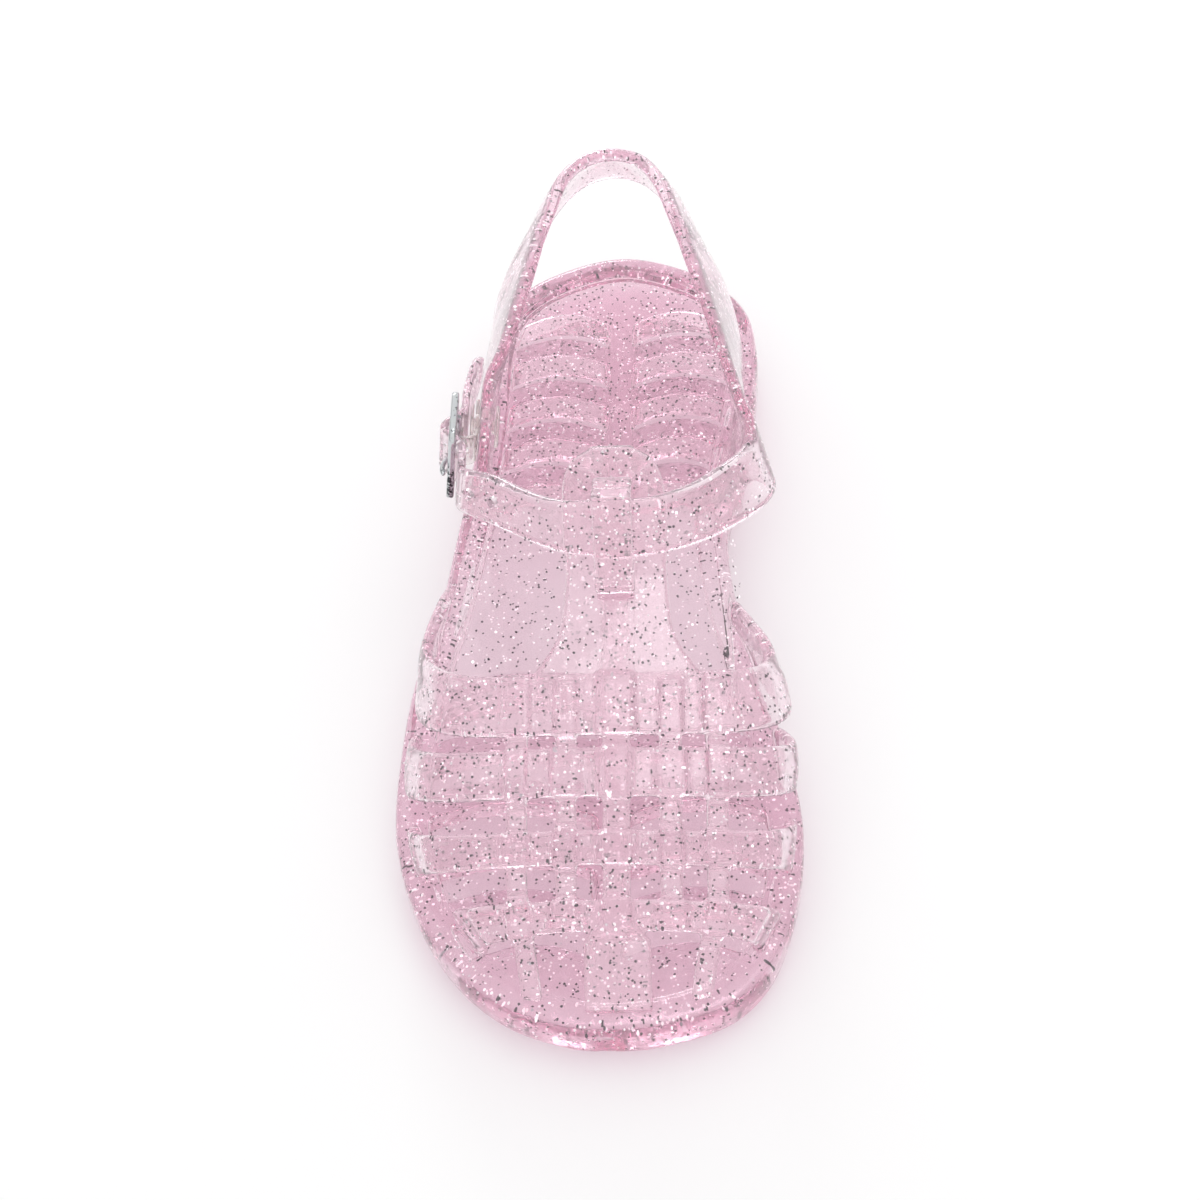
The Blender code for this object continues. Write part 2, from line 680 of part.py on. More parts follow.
def tube(name, path, radius, shade, sides=8, closed=False, helper=False):
    """A round rod along a path given as along, out and up from the buckle's middle."""
    path = np.array([buckle_point(*p) for p in path])
    run = np.gradient(path, axis=0)
    if closed:
        run = np.roll(path, -1, axis=0) - np.roll(path, 1, axis=0)
    rings = []
    side = np.cross(run[0], buckle_point(0, 0, 1) - np.array(BUCKLE_AT))
    if np.linalg.norm(side) < 0.1 * np.linalg.norm(run[0]):
        side = np.array([0.0, 1.0, 0.0])
    for point, direction in zip(path, run):
        direction = direction / np.linalg.norm(direction)
        side = side - direction * np.dot(side, direction)
        side /= np.linalg.norm(side)
        other = np.cross(direction, side)
        angles = 2 * math.pi * np.arange(sides) / sides
        rings.append([point + radius * (math.cos(a) * side + math.sin(a) * other) for a in angles])
    return loft(name, rings, shade, closed, helper)


def build_frame(shade):
    half_long = FRAME_LENGTH / 2 - FRAME_BAR / 2
    half_high = FRAME_HEIGHT / 2 - FRAME_BAR / 2
    radius = FRAME_CORNER - FRAME_BAR / 2
    rings = []
    for corner, (a, u) in enumerate(((1, 1), (-1, 1), (-1, -1), (1, -1))):
        for turn in np.linspace(0, math.pi / 2, 4):
            angle = corner * math.pi / 2 + turn
            across = np.array([math.cos(angle), math.sin(angle)])
            centre = np.array([a * (half_long - radius), u * (half_high - radius)])
            ring = []
            for wide, deep in ((1, 0.55), (0.55, 1), (-0.55, 1), (-1, 0.55)):
                spot = centre + across * (radius + wide * FRAME_BAR / 2)
                ring.append(buckle_point(spot[0], deep * FRAME_DEPTH / 2, spot[1]))
            for wide, deep in ((-1, -0.55), (-0.55, -1), (0.55, -1), (1, -0.55)):
                spot = centre + across * (radius + wide * FRAME_BAR / 2)
                ring.append(buckle_point(spot[0], deep * FRAME_DEPTH / 2, spot[1]))
            rings.append(ring)
    frame = loft("buckle_frame", rings, shade, closed=True)
    reach = FRAME_HEIGHT / 2 - FRAME_BAR / 2
    pin = [(0, -0.1, reach), (0, -0.2, reach - 0.7), (0, PIN_DROP, reach - 1.6)]
    pin += [(0, PIN_DROP, 1.6 - reach), (0, -0.2, 0.7 - reach), (0, -0.1, -reach)]
    combine(frame, tube("buckle_pin", pin, PIN_RADIUS, shade, helper=True), "UNION")
    return frame


def build_prong(shade):
    path = [(*p, 0.0) for p in smooth_rows(PRONG_PATH, 2)]
    return tube("buckle_prong", path, PRONG_RADIUS, shade)


def build_tab(shade):
    path = smooth_rows(TAB_PATH, 2)
    run = np.gradient(path, axis=0)
    rings = []
    for (along, out), (da, do) in zip(path, run):
        size = math.hypot(da, do)
        normal = np.array([-do, da]) / size * TAB_WALL / 2
        ring = []
        for side, up in ((1, 1), (1, -1), (-1, -1), (-1, 1)):
            ring.append(buckle_point(along + side * normal[0], out + side * normal[1], up * TAB_HALF))
        rings.append(ring)
    tab = loft("buckle_tab", rings, shade)
    room = PRONG_RADIUS + GAP
    slot = [(-2.2, 1.2), (2.2, 1.2), (2.2, -2.6), (-2.2, -2.6)]
    rings = [[buckle_point(a, o, up) for a, o in slot] for up in (-room, room)]
    combine(tab, loft("tab_slot", rings, shade, helper=True), "DIFFERENCE")
    combine(tab, rivet_cylinder("tab_hole", RIVET_SHANK + GAP, -4.4, -3.0, shade), "DIFFERENCE")
    return tab


def rivet_ring(radius, out, sides=20):
    found = []
    for i in range(sides):
        angle = 2 * math.pi * i / sides
        along = RIVET_ALONG + radius * math.cos(angle)
        found.append(buckle_point(along, out, RIVET_UP + radius * math.sin(angle)))
    return found


def rivet_cylinder(name, radius, start, end, shade):
    rings = [rivet_ring(radius, start), rivet_ring(radius, end)]
    return loft(name, rings, shade, helper=True)


def build_rivet(shade):
    turned = [
        (RIVET_HEAD - 0.4, -7.35),
        (RIVET_HEAD, -7.15),
        (RIVET_HEAD, -6.65),
        (RIVET_SHANK, -6.65),
        (RIVET_SHANK, -3.15),
        (RIVET_HEAD, -3.15),
        (RIVET_HEAD, -2.85),
        (RIVET_HEAD - 0.3, -2.6),
    ]
    return loft("rivet", [rivet_ring(radius, out) for radius, out in turned], shade)


def main():
    for old in list(bpy.data.objects):
        bpy.data.objects.remove(old)
    pvc = material("glitter_pvc", (0.87, 0.55, 0.70), 0.12)
    chrome = material("chrome", (0.80, 0.81, 0.82), 0.08, 1.0)
    clear = material("clear_pvc", (0.86, 0.84, 0.82), 0.05)
    build_sole(pvc)
    build_upper(pvc)
    build_heel_strap(pvc)
    build_frame(chrome)
    build_prong(chrome)
    build_tab(clear)
    build_rivet(clear)


main()
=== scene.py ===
"""Child's glitter jelly sandal on a pale studio floor: the finely moulded vinyl, the flakes inside
it and the plated side buckle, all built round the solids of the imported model."""

import math
from collections import namedtuple

import bmesh
import bpy
import numpy as np
from mathutils import Matrix, Vector


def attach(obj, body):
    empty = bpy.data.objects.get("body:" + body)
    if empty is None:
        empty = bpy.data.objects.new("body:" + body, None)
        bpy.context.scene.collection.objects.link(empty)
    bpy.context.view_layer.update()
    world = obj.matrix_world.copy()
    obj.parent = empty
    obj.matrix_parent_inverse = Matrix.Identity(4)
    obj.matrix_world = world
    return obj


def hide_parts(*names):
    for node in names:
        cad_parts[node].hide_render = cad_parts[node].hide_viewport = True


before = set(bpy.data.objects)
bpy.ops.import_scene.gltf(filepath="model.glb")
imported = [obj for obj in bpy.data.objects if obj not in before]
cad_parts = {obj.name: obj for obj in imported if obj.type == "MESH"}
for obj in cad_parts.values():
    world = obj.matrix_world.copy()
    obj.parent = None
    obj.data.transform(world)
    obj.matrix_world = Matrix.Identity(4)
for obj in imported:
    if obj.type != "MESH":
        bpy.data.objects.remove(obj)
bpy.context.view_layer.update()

MM = 0.001

# Sizes of the shoe in millimetres. The solids have them too, apart from the rounded edges, the
# arch's pocket, the belt loop's lower end and the strap's loose tip, which follow the photo.
SOLE_LENGTH = 160.0
BALL_WIDTH = 64.8
STRAP_WALL = 2.0
# How far a woven strap rises over another, and along which run it does so
RAISE = 0.9
RAISE_RUN = 1.1
DIP = 0.35
# How deep the straps are rooted in the sole's rim
SINK = 0.5
OutlineRow = namedtuple("OutlineRow", "back lateral medial")
OUTLINE = [OutlineRow(*row) for row in (
    (0.944, 0.212, 0.210),
    (0.840, 0.342, 0.342),
    (0.712, 0.380, 0.380),
    (0.529, 0.385, 0.369),
    (0.353, 0.400, 0.329),
    (0.176, 0.427, 0.294),
    (0.000, 0.456, 0.316),
    (-0.202, 0.510, 0.380),
    (-0.378, 0.529, 0.437),
    (-0.529, 0.528, 0.467),
    (-0.655, 0.496, 0.461),
    (-0.768, 0.438, 0.432),
    (-0.869, 0.352, 0.381),
    (-0.948, 0.235, 0.285),
    (-0.992, 0.095, 0.128),
)]
ProfileRow = namedtuple("ProfileRow", "along under top")
PROFILE = [ProfileRow(*row) for row in (
    (-80.0, 1.8, 9.7),
    (-69.0, 0.8, 9.0),
    (-56.0, 0.0, 8.8),
    (-22.0, 0.0, 9.6),
    (-7.0, 1.5, 10.2),
    (11.0, 1.5, 10.7),
    (31.0, 0.0, 11.3),
    (73.0, 0.0, 11.9),
    (80.0, 0.6, 11.9),
)]
# Side wall from the floor up and over the rim: inset from the outline, share of the height
WallRow = namedtuple("WallRow", "inset share")
WALL = [WallRow(*row) for row in (
    (1.50, 0.000),
    (1.05, 0.012),
    (0.72, 0.045),
    (0.52, 0.090),
    (0.36, 0.160),
    (0.30, 0.340),
    (0.22, 0.375),
    (0.05, 0.405),
    (0.00, 0.440),
    (0.00, 0.740),
    (0.10, 0.830),
    (0.32, 0.905),
    (0.66, 0.962),
    (1.10, 0.992),
    (1.70, 1.000),
)]
# From the rim down to the footbed: inset from the outline, drop below the rim
FootbedRow = namedtuple("FootbedRow", "inset drop")
FOOTBED = [FootbedRow(*row) for row in (
    (4.10, 0.00),
    (4.55, 0.06),
    (4.85, 0.26),
    (5.10, 0.60),
    (5.40, 0.82),
    (6.00, 0.90),
    (6.40, 0.90),
)]
RIB_PITCH = 10.0
RIB_WIDTH = 3.4
SPINE_WIDTH = 3.4
SIDE_WALL = 3.8
PLATE = 3.6
ARCH_PLATE = 2.4
WAVE = 3.0
RIB_FIELDS = [(-66.0, 5), (29.0, 4)]
ARCH_POCKET = (-16.0, 25.0)
# Levels of a pocket's wall below its roof, and the draft at each
POCKET_WALL = [(0.75, 0.14), (0.65, 0.15), (0.40, 0.22), (0.15, 0.45), (0.0, 0.8), (0.0, 0.95)]
GATE_WIDTH = 2.6
GATE_DEPTH = 0.9
GATE_TOP = 7.0

# Toe cage surface: middle of each row, its two feet, and how far each side bulges
CageRow = namedtuple("CageRow", "y z lat_x lat_y med_x med_y lat_out med_out")
CAGE = [CageRow(*row) for row in (
    (-77.6, 10.0, -17.0, -71.5, 21.0, -71.0, 0.0, 0.0),
    (-74.0, 14.0, -18.0, -69.6, 22.2, -69.2, 0.0, 0.0),
    (-67.5, 17.5, -19.5, -67.0, 23.6, -66.9, 0.0, 0.0),
    (-63.2, 19.5, -24.0, -59.5, 26.8, -60.0, 0.2, 0.2),
    (-58.3, 21.5, -29.4, -53.0, 28.4, -52.8, 0.4, 0.8),
    (-53.4, 23.4, -31.8, -43.2, 29.2, -43.2, 0.4, 1.5),
    (-48.5, 25.2, -32.3, -36.8, 28.8, -36.8, 0.5, 3.0),
    (-41.2, 27.5, -32.3, -25.6, 27.2, -25.6, 0.8, 6.0),
    (-39.3, 28.2, -31.4, -16.5, 25.2, -16.0, 1.6, 8.0),
    (-30.0, 31.0, -28.6, 4.0, 20.6, -0.5, 4.0, 10.0),
    (-22.0, 33.2, -24.4, 12.0, 28.6, 12.0, 0.0, 0.0),
    (-17.0, 34.8, -24.4, 17.0, 28.6, 17.0, 0.0, 0.0),
    (-13.6, 36.2, -24.4, 20.0, 28.6, 20.0, 0.0, 0.0),
    (-11.4, 38.3, -24.4, 22.0, 28.6, 22.0, 0.0, 0.0),
    (-6.8, 46.5, -24.4, 27.0, 28.6, 27.0, 0.0, 0.0),
    (-3.3, 52.2, -24.4, 31.0, 28.6, 31.0, 0.0, 0.0),
)]
CAGE_ROWS = np.array(CAGE)
CAGE_SLOPES = np.gradient(CAGE_ROWS, CAGE_ROWS[:, 0], axis=0)
# Squareness of the cage's arch, how late it comes forward, and its feet's place above the rim
ARCH_POWER = 2.35
FORWARD_POWER = 1.3
FOOT_RISE = 0.35
CROSS_EDGE = 0.55
LONG_EDGE = 0.5
BAR_EDGE = 0.45
STRAP_EDGE = 0.9
CrossStrap = namedtuple("CrossStrap", "front back")
CROSS = [CrossStrap(*row) for row in (
    (-67.5, -63.2),
    (-58.3, -53.4),
    (-48.5, -41.2),
    (-39.3, -30.0),
)]
LongStrap = namedtuple("LongStrap", "x toe_x width front back over_even")
LONG = [LongStrap(*row) for row in (
    (-13.2, -11.1, 3.2, -76.4, -35.0, True),
    (-5.6, -5.6, 3.2, -67.0, -31.0, False),
    (2.1, 2.1, 4.2, -77.5, -35.0, True),
    (10.4, 10.2, 3.4, -67.0, -31.0, False),
    (17.5, 14.8, 3.3, -76.4, -35.0, True),
)]
TOE_TAB_WIDTH = 10.2
# Grid of the cage's fused skin: a finer one than SKIN_STEP would pass 200,000 triangles
SKIN_STEP = 0.36
BAR_X = 2.1
BarRow = namedtuple("BarRow", "y half")
BAR = [BarRow(*row) for row in (
    (-35.0, 13.0),
    (-30.6, 13.0),
    (-28.6, 12.0),
    (-25.8, 10.1),
    (-22.5, 8.9),
    (-18.0, 8.3),
    (-13.0, 8.0),
    (-9.5, 8.0),
    (-6.5, 8.0),
    (-4.9, 7.3),
    (-4.0, 6.2),
    (-3.35, 3.6),
)]
LOOP_WIDTH = 6.1
LOOP_WALL = 1.7
LOOP_ROOM = 0.75
LOOP_EDGE = 0.6

# Heel and ankle strap: lower and upper edge of the outer face, bulge between them, thickness.
# The rows run from the buckle round the heel and back over the instep.
StrapRow = namedtuple("StrapRow", "low high belly wall")
STRAP = [StrapRow(*row) for row in (
    ((-20.95, 3.0, 35.4), (-20.0, 3.0, 41.6), 0.0, 1.9),
    ((-21.2, 6.0, 32.8), (-19.7, 6.0, 44.0), 0.0, 2.0),
    ((-21.7, 10.0, 29.3), (-19.55, 10.5, 44.7), 0.0, 2.0),
    ((-22.9, 14.5, 21.5), (-19.55, 15.5, 45.0), 0.0, 2.0),
    ((-23.9, 19.5, 12.0), (-19.2, 20.5, 45.0), 0.0, 2.1),
    ((-24.4, 27.0, 11.7), (-17.2, 27.0, 45.0), 1.2, 2.2),
    ((-23.9, 36.0, 11.7), (-15.4, 36.0, 45.0), 2.4, 2.3),
    ((-23.4, 45.5, 11.7), (-14.0, 43.0, 45.0), 2.4, 2.3),
    ((-22.8, 50.0, 15.0), (-13.1, 48.0, 45.0), 2.2, 2.3),
    ((-21.6, 54.0, 21.5), (-12.2, 52.5, 45.0), 1.8, 2.3),
    ((-17.2, 60.5, 29.5), (-10.8, 58.4, 45.0), 1.0, 2.3),
    ((-12.2, 69.4, 33.4), (-8.7, 66.4, 45.0), 0.6, 2.3),
    ((-6.5, 75.3, 35.4), (-4.9, 71.3, 45.0), 0.4, 2.3),
    ((0.3, 77.3, 36.0), (0.2, 72.9, 45.0), 0.3, 2.3),
    ((7.0, 75.0, 35.4), (5.4, 71.0, 45.0), 0.4, 2.3),
    ((12.7, 68.4, 33.4), (9.1, 65.2, 45.0), 0.6, 2.3),
    ((17.0, 59.5, 29.3), (11.8, 56.5, 45.0), 1.0, 2.3),
    ((20.4, 54.0, 21.5), (13.4, 51.0, 45.0), 1.8, 2.3),
    ((22.0, 50.0, 15.0), (14.3, 47.6, 45.0), 2.2, 2.3),
    ((22.4, 45.5, 11.7), (15.5, 43.0, 45.0), 2.4, 2.3),
    ((21.4, 36.0, 11.7), (17.3, 36.0, 45.0), 2.8, 2.3),
    ((19.3, 27.0, 11.7), (19.4, 27.0, 45.0), 3.2, 2.2),
    ((18.2, 19.5, 12.0), (21.0, 20.5, 44.9), 2.8, 2.1),
    ((21.8, 14.0, 22.0), (22.6, 14.2, 44.7), 1.6, 2.1),
    ((25.6, 9.6, 30.0), (24.0, 9.8, 44.3), 0.6, 2.0),
    ((27.5, 4.5, 33.4), (24.0, 6.0, 44.0), 0.3, 2.0),
    ((26.3, -0.1, 34.7), (22.5, 2.6, 44.2), 0.2, 2.0),
    ((22.6, -4.4, 35.6), (19.3, -0.8, 44.7), 0.2, 2.0),
    ((16.5, -10.2, 37.9), (14.1, -6.3, 46.6), 0.2, 2.0),
    ((9.4, -13.8, 39.3), (8.0, -9.8, 47.9), 0.2, 2.0),
    ((2.1, -14.5, 39.4), (2.1, -10.0, 47.8), 0.2, 2.0),
    ((-6.7, -13.0, 39.2), (-5.9, -9.5, 47.3), 0.2, 2.0),
    ((-13.6, -8.0, 37.2), (-12.2, -5.8, 45.6), 0.2, 2.0),
    ((-19.0, -2.8, 34.6), (-17.6, -1.2, 44.0), 0.2, 1.8),
)]
# The strap's end in the buckle: place along it, outwards and up from the buckle's middle
ThreadRow = namedtuple("ThreadRow", "along out up half")
THREAD = [ThreadRow(*row) for row in (
    (-9.6, -2.1, 0.1, 5.1),
    (-6.6, -1.75, 0.0, 5.0),
    (-4.6, -1.65, 0.0, 5.0),
    (-3.6, -1.3, 0.0, 5.0),
    (-2.55, -0.4, 0.0, 5.0),
    (-1.45, 0.85, 0.0, 5.0),
    (0.0, 1.5, 0.0, 5.0),
    (1.45, 0.85, 0.0, 5.0),
    (2.55, -0.4, 0.0, 4.9),
    (3.6, -1.3, 0.1, 4.9),
    (4.6, -1.65, 0.2, 4.8),
    (8.0, -1.75, 0.5, 4.7),
    (13.0, -2.6, 1.0, 4.5),
    (15.2, -3.2, 1.3, 3.7),
    (16.4, -3.5, 1.4, 2.2),
)]
THREAD_WALL = 1.3
HOLE_RADIUS = 0.95
# Rows of the smoothed strap at which its unused prong holes lie
SPARE_HOLES = (263, 269)

# Buckle
BUCKLE_AT = (-24.9, 12.1, 36.8)
BUCKLE_LEAN = math.radians(8.0)
FRAME_LENGTH = 11.0
FRAME_HEIGHT = 16.4
FRAME_BAR = 1.4
FRAME_DEPTH = 1.2
FRAME_CORNER = 2.2
PIN_RADIUS = 0.45
PIN_DROP = -0.9
PRONG_RADIUS = 0.4
TAB_WALL = 0.6
TAB_HALF = 3.4
TAB_EDGE = 0.27
# Paths of the tab and the prong round the centre pin: along the strap and outwards
TAB_PATH = [
    (7.3, -3.7),
    (0.7, -3.7),
    (-0.4, -3.35),
    (-0.95, -2.3),
    (-1.0, -0.9),
    (-0.7, -0.2),
    (0.0, 0.1),
    (0.7, -0.2),
    (1.0, -0.9),
    (0.85, -1.5),
]
PRONG_PATH = [
    (1.1, -0.75),
    (0.95, -1.45),
    (0.3, -1.95),
    (-0.5, -1.88),
    (-1.1, -1.25),
    (-1.4, -0.4),
    (-2.3, 0.2),
    (-3.2, 0.8),
    (-4.2, 1.32),
    (-5.4, 1.4),
    (-6.1, 1.2),
]
RIVET_ALONG = 3.9
RIVET_UP = 0.7
RIVET_HEAD = 3.5
RIVET_SHANK = 1.2
GAP = 0.3

# Flakes: their number is given for a square millimetre, and their size and depth in millimetres
PER_SQUARE_MM = 1.0e6
FLAKE_SIZE = 0.43
FLAKE_LEAST_DEPTH = 0.3
SOLE_FLAKE_DEPTH = 2.4
STRAP_FLAKE_DEPTH = 0.95
FLAKE_TILT = 0.7

# Stage, in metres: air under the ribs, so that light leaves their flat faces before the sheet
FLOOR_GAP = 0.00003
FLOOR_HALF = 3.0
CAMERA_PLACE = (0.02750, -0.25440, 0.33960)
CAMERA_AIM = (0.0000, -0.0035, 0.0150)
CAMERA_LENS = 74.8


# Plain helpers


def linear(code):
    """Linear RGBA of an sRGB hex colour."""
    values = [int(code[i:i + 2], 16) / 255 for i in (1, 3, 5)]
    return [v / 12.92 if v <= 0.04045 else ((v + 0.055) / 1.055) ** 2.4 for v in values] + [1.0]


def node(tree, kind, inputs=None, **settings):
    """Adds a node with its settings, its plain input values and its links."""
    made = tree.nodes.new(kind)
    for name, value in settings.items():
        setattr(made, name, value)
    for name, value in (inputs or {}).items():
        socket = made.inputs[name]
        if isinstance(value, bpy.types.NodeSocket):
            tree.links.new(value, socket)
        else:
            socket.default_value = value
    return made


def curve_weights(t):
    """Shares of a smooth curve's first point and slope and its second point and slope."""
    return 2 * t**3 - 3 * t**2 + 1, t**3 - 2 * t**2 + t, 3 * t**2 - 2 * t**3, t**3 - t**2


def smooth_rows(rows, steps):
    """Rows of numbers with steps points for each span, on a curve through every row."""
    rows = np.array(rows, float)
    slopes = np.gradient(rows, axis=0)
    found = []
    for i in range(len(rows) - 1):
        for t in np.arange(steps) / steps:
            a, b, c, d = curve_weights(t)
            found.append(a * rows[i] + b * slopes[i] + c * rows[i + 1] + d * slopes[i + 1])
    found.append(rows[-1])
    return np.array(found)


def outline_points(steps):
    """Closed outline of the sole from the heel tip down the inner side and back up the outer."""
    half = SOLE_LENGTH / 2
    medial = [(row.medial * BALL_WIDTH, row.back * half) for row in OUTLINE]
    lateral = [(-row.lateral * BALL_WIDTH, row.back * half) for row in OUTLINE][::-1]
    loop = [(0.0, half)] + medial + [(0.8, -half)] + lateral
    wrapped = smooth_rows([loop[-1]] + loop + loop[:2], steps)
    return wrapped[steps:-steps - 1]


def side_shift():
    """What moves the sole's box to the middle, as the solids' frame has it."""
    across = outline_points(3)[:, 0]
    return -(across.min() + across.max()) / 2


SHIFT = np.array([side_shift(), 0.0, 0.0])


def add_object(name, points, faces):
    """A mesh object from points in millimetres, with its faces outward."""
    mesh = bpy.data.meshes.new(name)
    moved = (np.array(points) + SHIFT) * MM
    mesh.from_pydata([tuple(p) for p in moved], [], faces)
    work = bmesh.new()
    work.from_mesh(mesh)
    bmesh.ops.recalc_face_normals(work, faces=work.faces)
    work.to_mesh(mesh)
    work.free()
    made = bpy.data.objects.new(name, mesh)
    bpy.context.scene.collection.objects.link(made)
    return made


def loft(name, sections, closed=False):
    """A closed solid through sections, each a ring of the same number of points."""
    count = len(sections[0])
    points = [p for ring in sections for p in ring]
    faces = []
    last = len(sections) if closed else len(sections) - 1
    for i in range(last):
        here = i * count
        there = (i + 1) % len(sections) * count
        for j in range(count):
            k = (j + 1) % count
            faces.append((here + j, here + k, there + k, there + j))
    if not closed:
        for start in (0, (len(sections) - 1) * count):
            for j in range(count // 2 - 1):
                across = start + count - 1 - j
                faces.append((start + j, start + j + 1, across - 1, across))
    return add_object(name, points, faces)


def settle(piece, sharp=None):
    """Applies a piece's modifiers, so that it is a plain mesh, and shades it smooth."""
    graph = bpy.context.evaluated_depsgraph_get()
    mesh = bpy.data.meshes.new_from_object(piece.evaluated_get(graph))
    piece.modifiers.clear()
    piece.data = mesh
    mesh.shade_smooth()
    if sharp:
        mesh.set_sharp_from_angle(angle=math.radians(sharp))
    return piece


def combine(target, others, operation, sharp):
    """Joins or cuts a solid with others, removes them, and creases edges over sharp degrees."""
    for other in others:
        step = target.modifiers.new(other.name, "BOOLEAN")
        step.operation = operation
        step.solver = "MANIFOLD"
        step.object = other
    settle(target, sharp)
    for other in others:
        bpy.data.objects.remove(other)


def join(name, pieces):
    """One object from several closed shells, which may run into each other."""
    work = bmesh.new()
    for piece in pieces:
        work.from_mesh(piece.data)
        bpy.data.objects.remove(piece)
    mesh = bpy.data.meshes.new(name)
    work.to_mesh(mesh)
    work.free()
    made = bpy.data.objects.new(name, mesh)
    bpy.context.scene.collection.objects.link(made)
    return made


def rounded_ends(rings, depth):
    """Closes a loft's two ends with a rounding of the given depth."""
    rings = [np.array(ring) for ring in rings]
    ends = []
    for ring, inner in ((rings[0], rings[1]), (rings[-1], rings[-2])):
        centre = ring.mean(axis=0)
        away = centre - inner.mean(axis=0)
        away /= np.linalg.norm(away)
        caps = []
        for angle in np.radians([25, 50, 75]):
            shrink = math.cos(angle)
            spread = ring - centre
            size = np.linalg.norm(spread, axis=1, keepdims=True)
            kept = spread * np.clip(1 - depth * (1 - shrink) / np.maximum(size, 1e-6), 0.05, 1.0)
            caps.append(centre + kept + away * depth * math.sin(angle))
        ends.append(caps)
    return ends[0][::-1] + rings + ends[1]


# Sole


def profile_at(y):
    """Floor side and top side of the sole at y, with the profile's corners eased."""
    y = np.asarray(y, float)
    along = [row.along for row in PROFILE]
    levels = []
    for level in ([row.under for row in PROFILE], [row.top for row in PROFILE]):
        near = [np.interp(y + d, along, level) for d in (-4.0, -2.0, 0.0, 2.0, 4.0)]
        levels.append(np.mean(near, axis=0))
    return levels


def inset_outline(outline, inset):
    """A closed outline moved inwards by inset."""
    after = np.roll(outline, -1, axis=0)
    before = np.roll(outline, 1, axis=0)
    run = after - before
    run /= np.linalg.norm(run, axis=1)[:, None]
    inward = np.stack([run[:, 1], -run[:, 0]], axis=1)
    return outline + inward * inset


def half_width(y, side, inset):
    """Half of the sole's width at y on one side, less inset."""
    half = SOLE_LENGTH / 2
    back = [row.back * half for row in OUTLINE][::-1]
    share = [getattr(row, side) for row in OUTLINE][::-1]
    return np.interp(y, back, share) * BALL_WIDTH - inset


def build_sole():
    outline = outline_points(10)
    count = len(outline)
    middle = count // 2
    rings = []
    for row in WALL:
        ring = inset_outline(outline, row.inset)
        under, top = profile_at(ring[:, 1])
        rings.append(np.column_stack([ring, under + (top - under) * row.share]))
    for row in FOOTBED:
        ring = inset_outline(outline, row.inset)
        rings.append(np.column_stack([ring, profile_at(ring[:, 1])[1] - row.drop]))
    points = [p for ring in rings for p in ring]
    faces = []
    for i in range(len(rings) - 1):
        for j in range(count):
            k = (j + 1) % count
            faces.append((i * count + j, i * count + k, (i + 1) * count + k, (i + 1) * count + j))
    for start in (0, (len(rings) - 1) * count):
        for j in range(middle):
            inner = (start + j, start + j + 1)
            outer = (start + (count - j - 1) % count, start + (count - j) % count)
            faces.append(tuple(dict.fromkeys((*inner, *outer))))
    sole = add_object("sole_vinyl", points, faces)
    combine(sole, build_pockets() + [gate_mark()], "DIFFERENCE", 40)
    return sole


def gate_mark():
    """Shallow notch in the toe's wall, where the moulding was cut from its gate."""
    front = -SOLE_LENGTH / 2
    corners = [(-GATE_WIDTH / 2, front - 1), (GATE_WIDTH / 2, front - 1)]
    corners += [(GATE_WIDTH / 2, front + GATE_DEPTH), (-GATE_WIDTH / 2, front + GATE_DEPTH)]
    return loft("gate_mark", [[(x, y, z) for x, y in corners] for z in (1.0, GATE_TOP)])


def eased(ring, rounds):
    """A closed polygon with its corners cut back rounds times, its first point kept opposite its
    last one."""
    for _ in range(rounds):
        after = np.roll(ring, -1, axis=0)
        pairs = [ring * 0.8 + after * 0.2, ring * 0.2 + after * 0.8]
        ring = np.roll(np.stack(pairs, axis=1).reshape(-1, 2), 1, axis=0)
    return ring


def pocket_outline(low, high, side):
    """Outline of a pocket between low and high, with both edges waved as the ribs are."""
    sign = 1 if side == "medial" else -1
    start = SPINE_WIDTH / 2
    found = []
    for y, order in ((low, 1), (high, -1)):
        reach = half_width(y, side, SIDE_WALL)
        row = []
        for share in np.linspace(0.0, 1.0, 9):
            x = start + (reach - start) * share
            row.append((sign * x, y + WAVE * math.sin(math.pi * share)))
        found += row[::order]
    return eased(np.array(found)[::-sign], 2)


def build_pockets():
    """The pockets between the ribs, with a little draft and an eased roof."""
    spans = [(*ARCH_POCKET, ARCH_PLATE)]
    for start, number in RIB_FIELDS:
        for i in range(number):
            low = start + i * RIB_PITCH
            spans.append((low, low + RIB_PITCH - RIB_WIDTH, PLATE))
    cutters = []
    for low, high, plate in spans:
        roof = float(profile_at((low + high) / 2)[1]) - FOOTBED[-1].drop - plate
        for side in ("lateral", "medial"):
            ring = pocket_outline(low, high, side)
            rings = []
            levels = [(-2.0, 0.0), (0.3, 0.0)]
            levels += [(roof - down, inset) for down, inset in POCKET_WALL]
            for z, inset in levels:
                inner = inset_outline(ring, inset)
                rings.append(np.column_stack([inner, np.full(len(inner), z)]))
            cutters.append(loft("pocket", rings))
    return cutters


# Toe cage and T-bar


def cage_row(y):
    """The cage's measures in the row through y."""
    y = np.asarray(y, float)
    i = np.clip(np.searchsorted(CAGE_ROWS[:, 0], y) - 1, 0, len(CAGE_ROWS) - 2)
    span = (CAGE_ROWS[i + 1, 0] - CAGE_ROWS[i, 0])[..., None]
    a, b, c, d = curve_weights((y[..., None] - CAGE_ROWS[i, 0][..., None]) / span)
    row = a * CAGE_ROWS[i] + b * span * CAGE_SLOPES[i]
    row += c * CAGE_ROWS[i + 1] + d * span * CAGE_SLOPES[i + 1]
    return CageRow(*np.moveaxis(row, -1, 0))


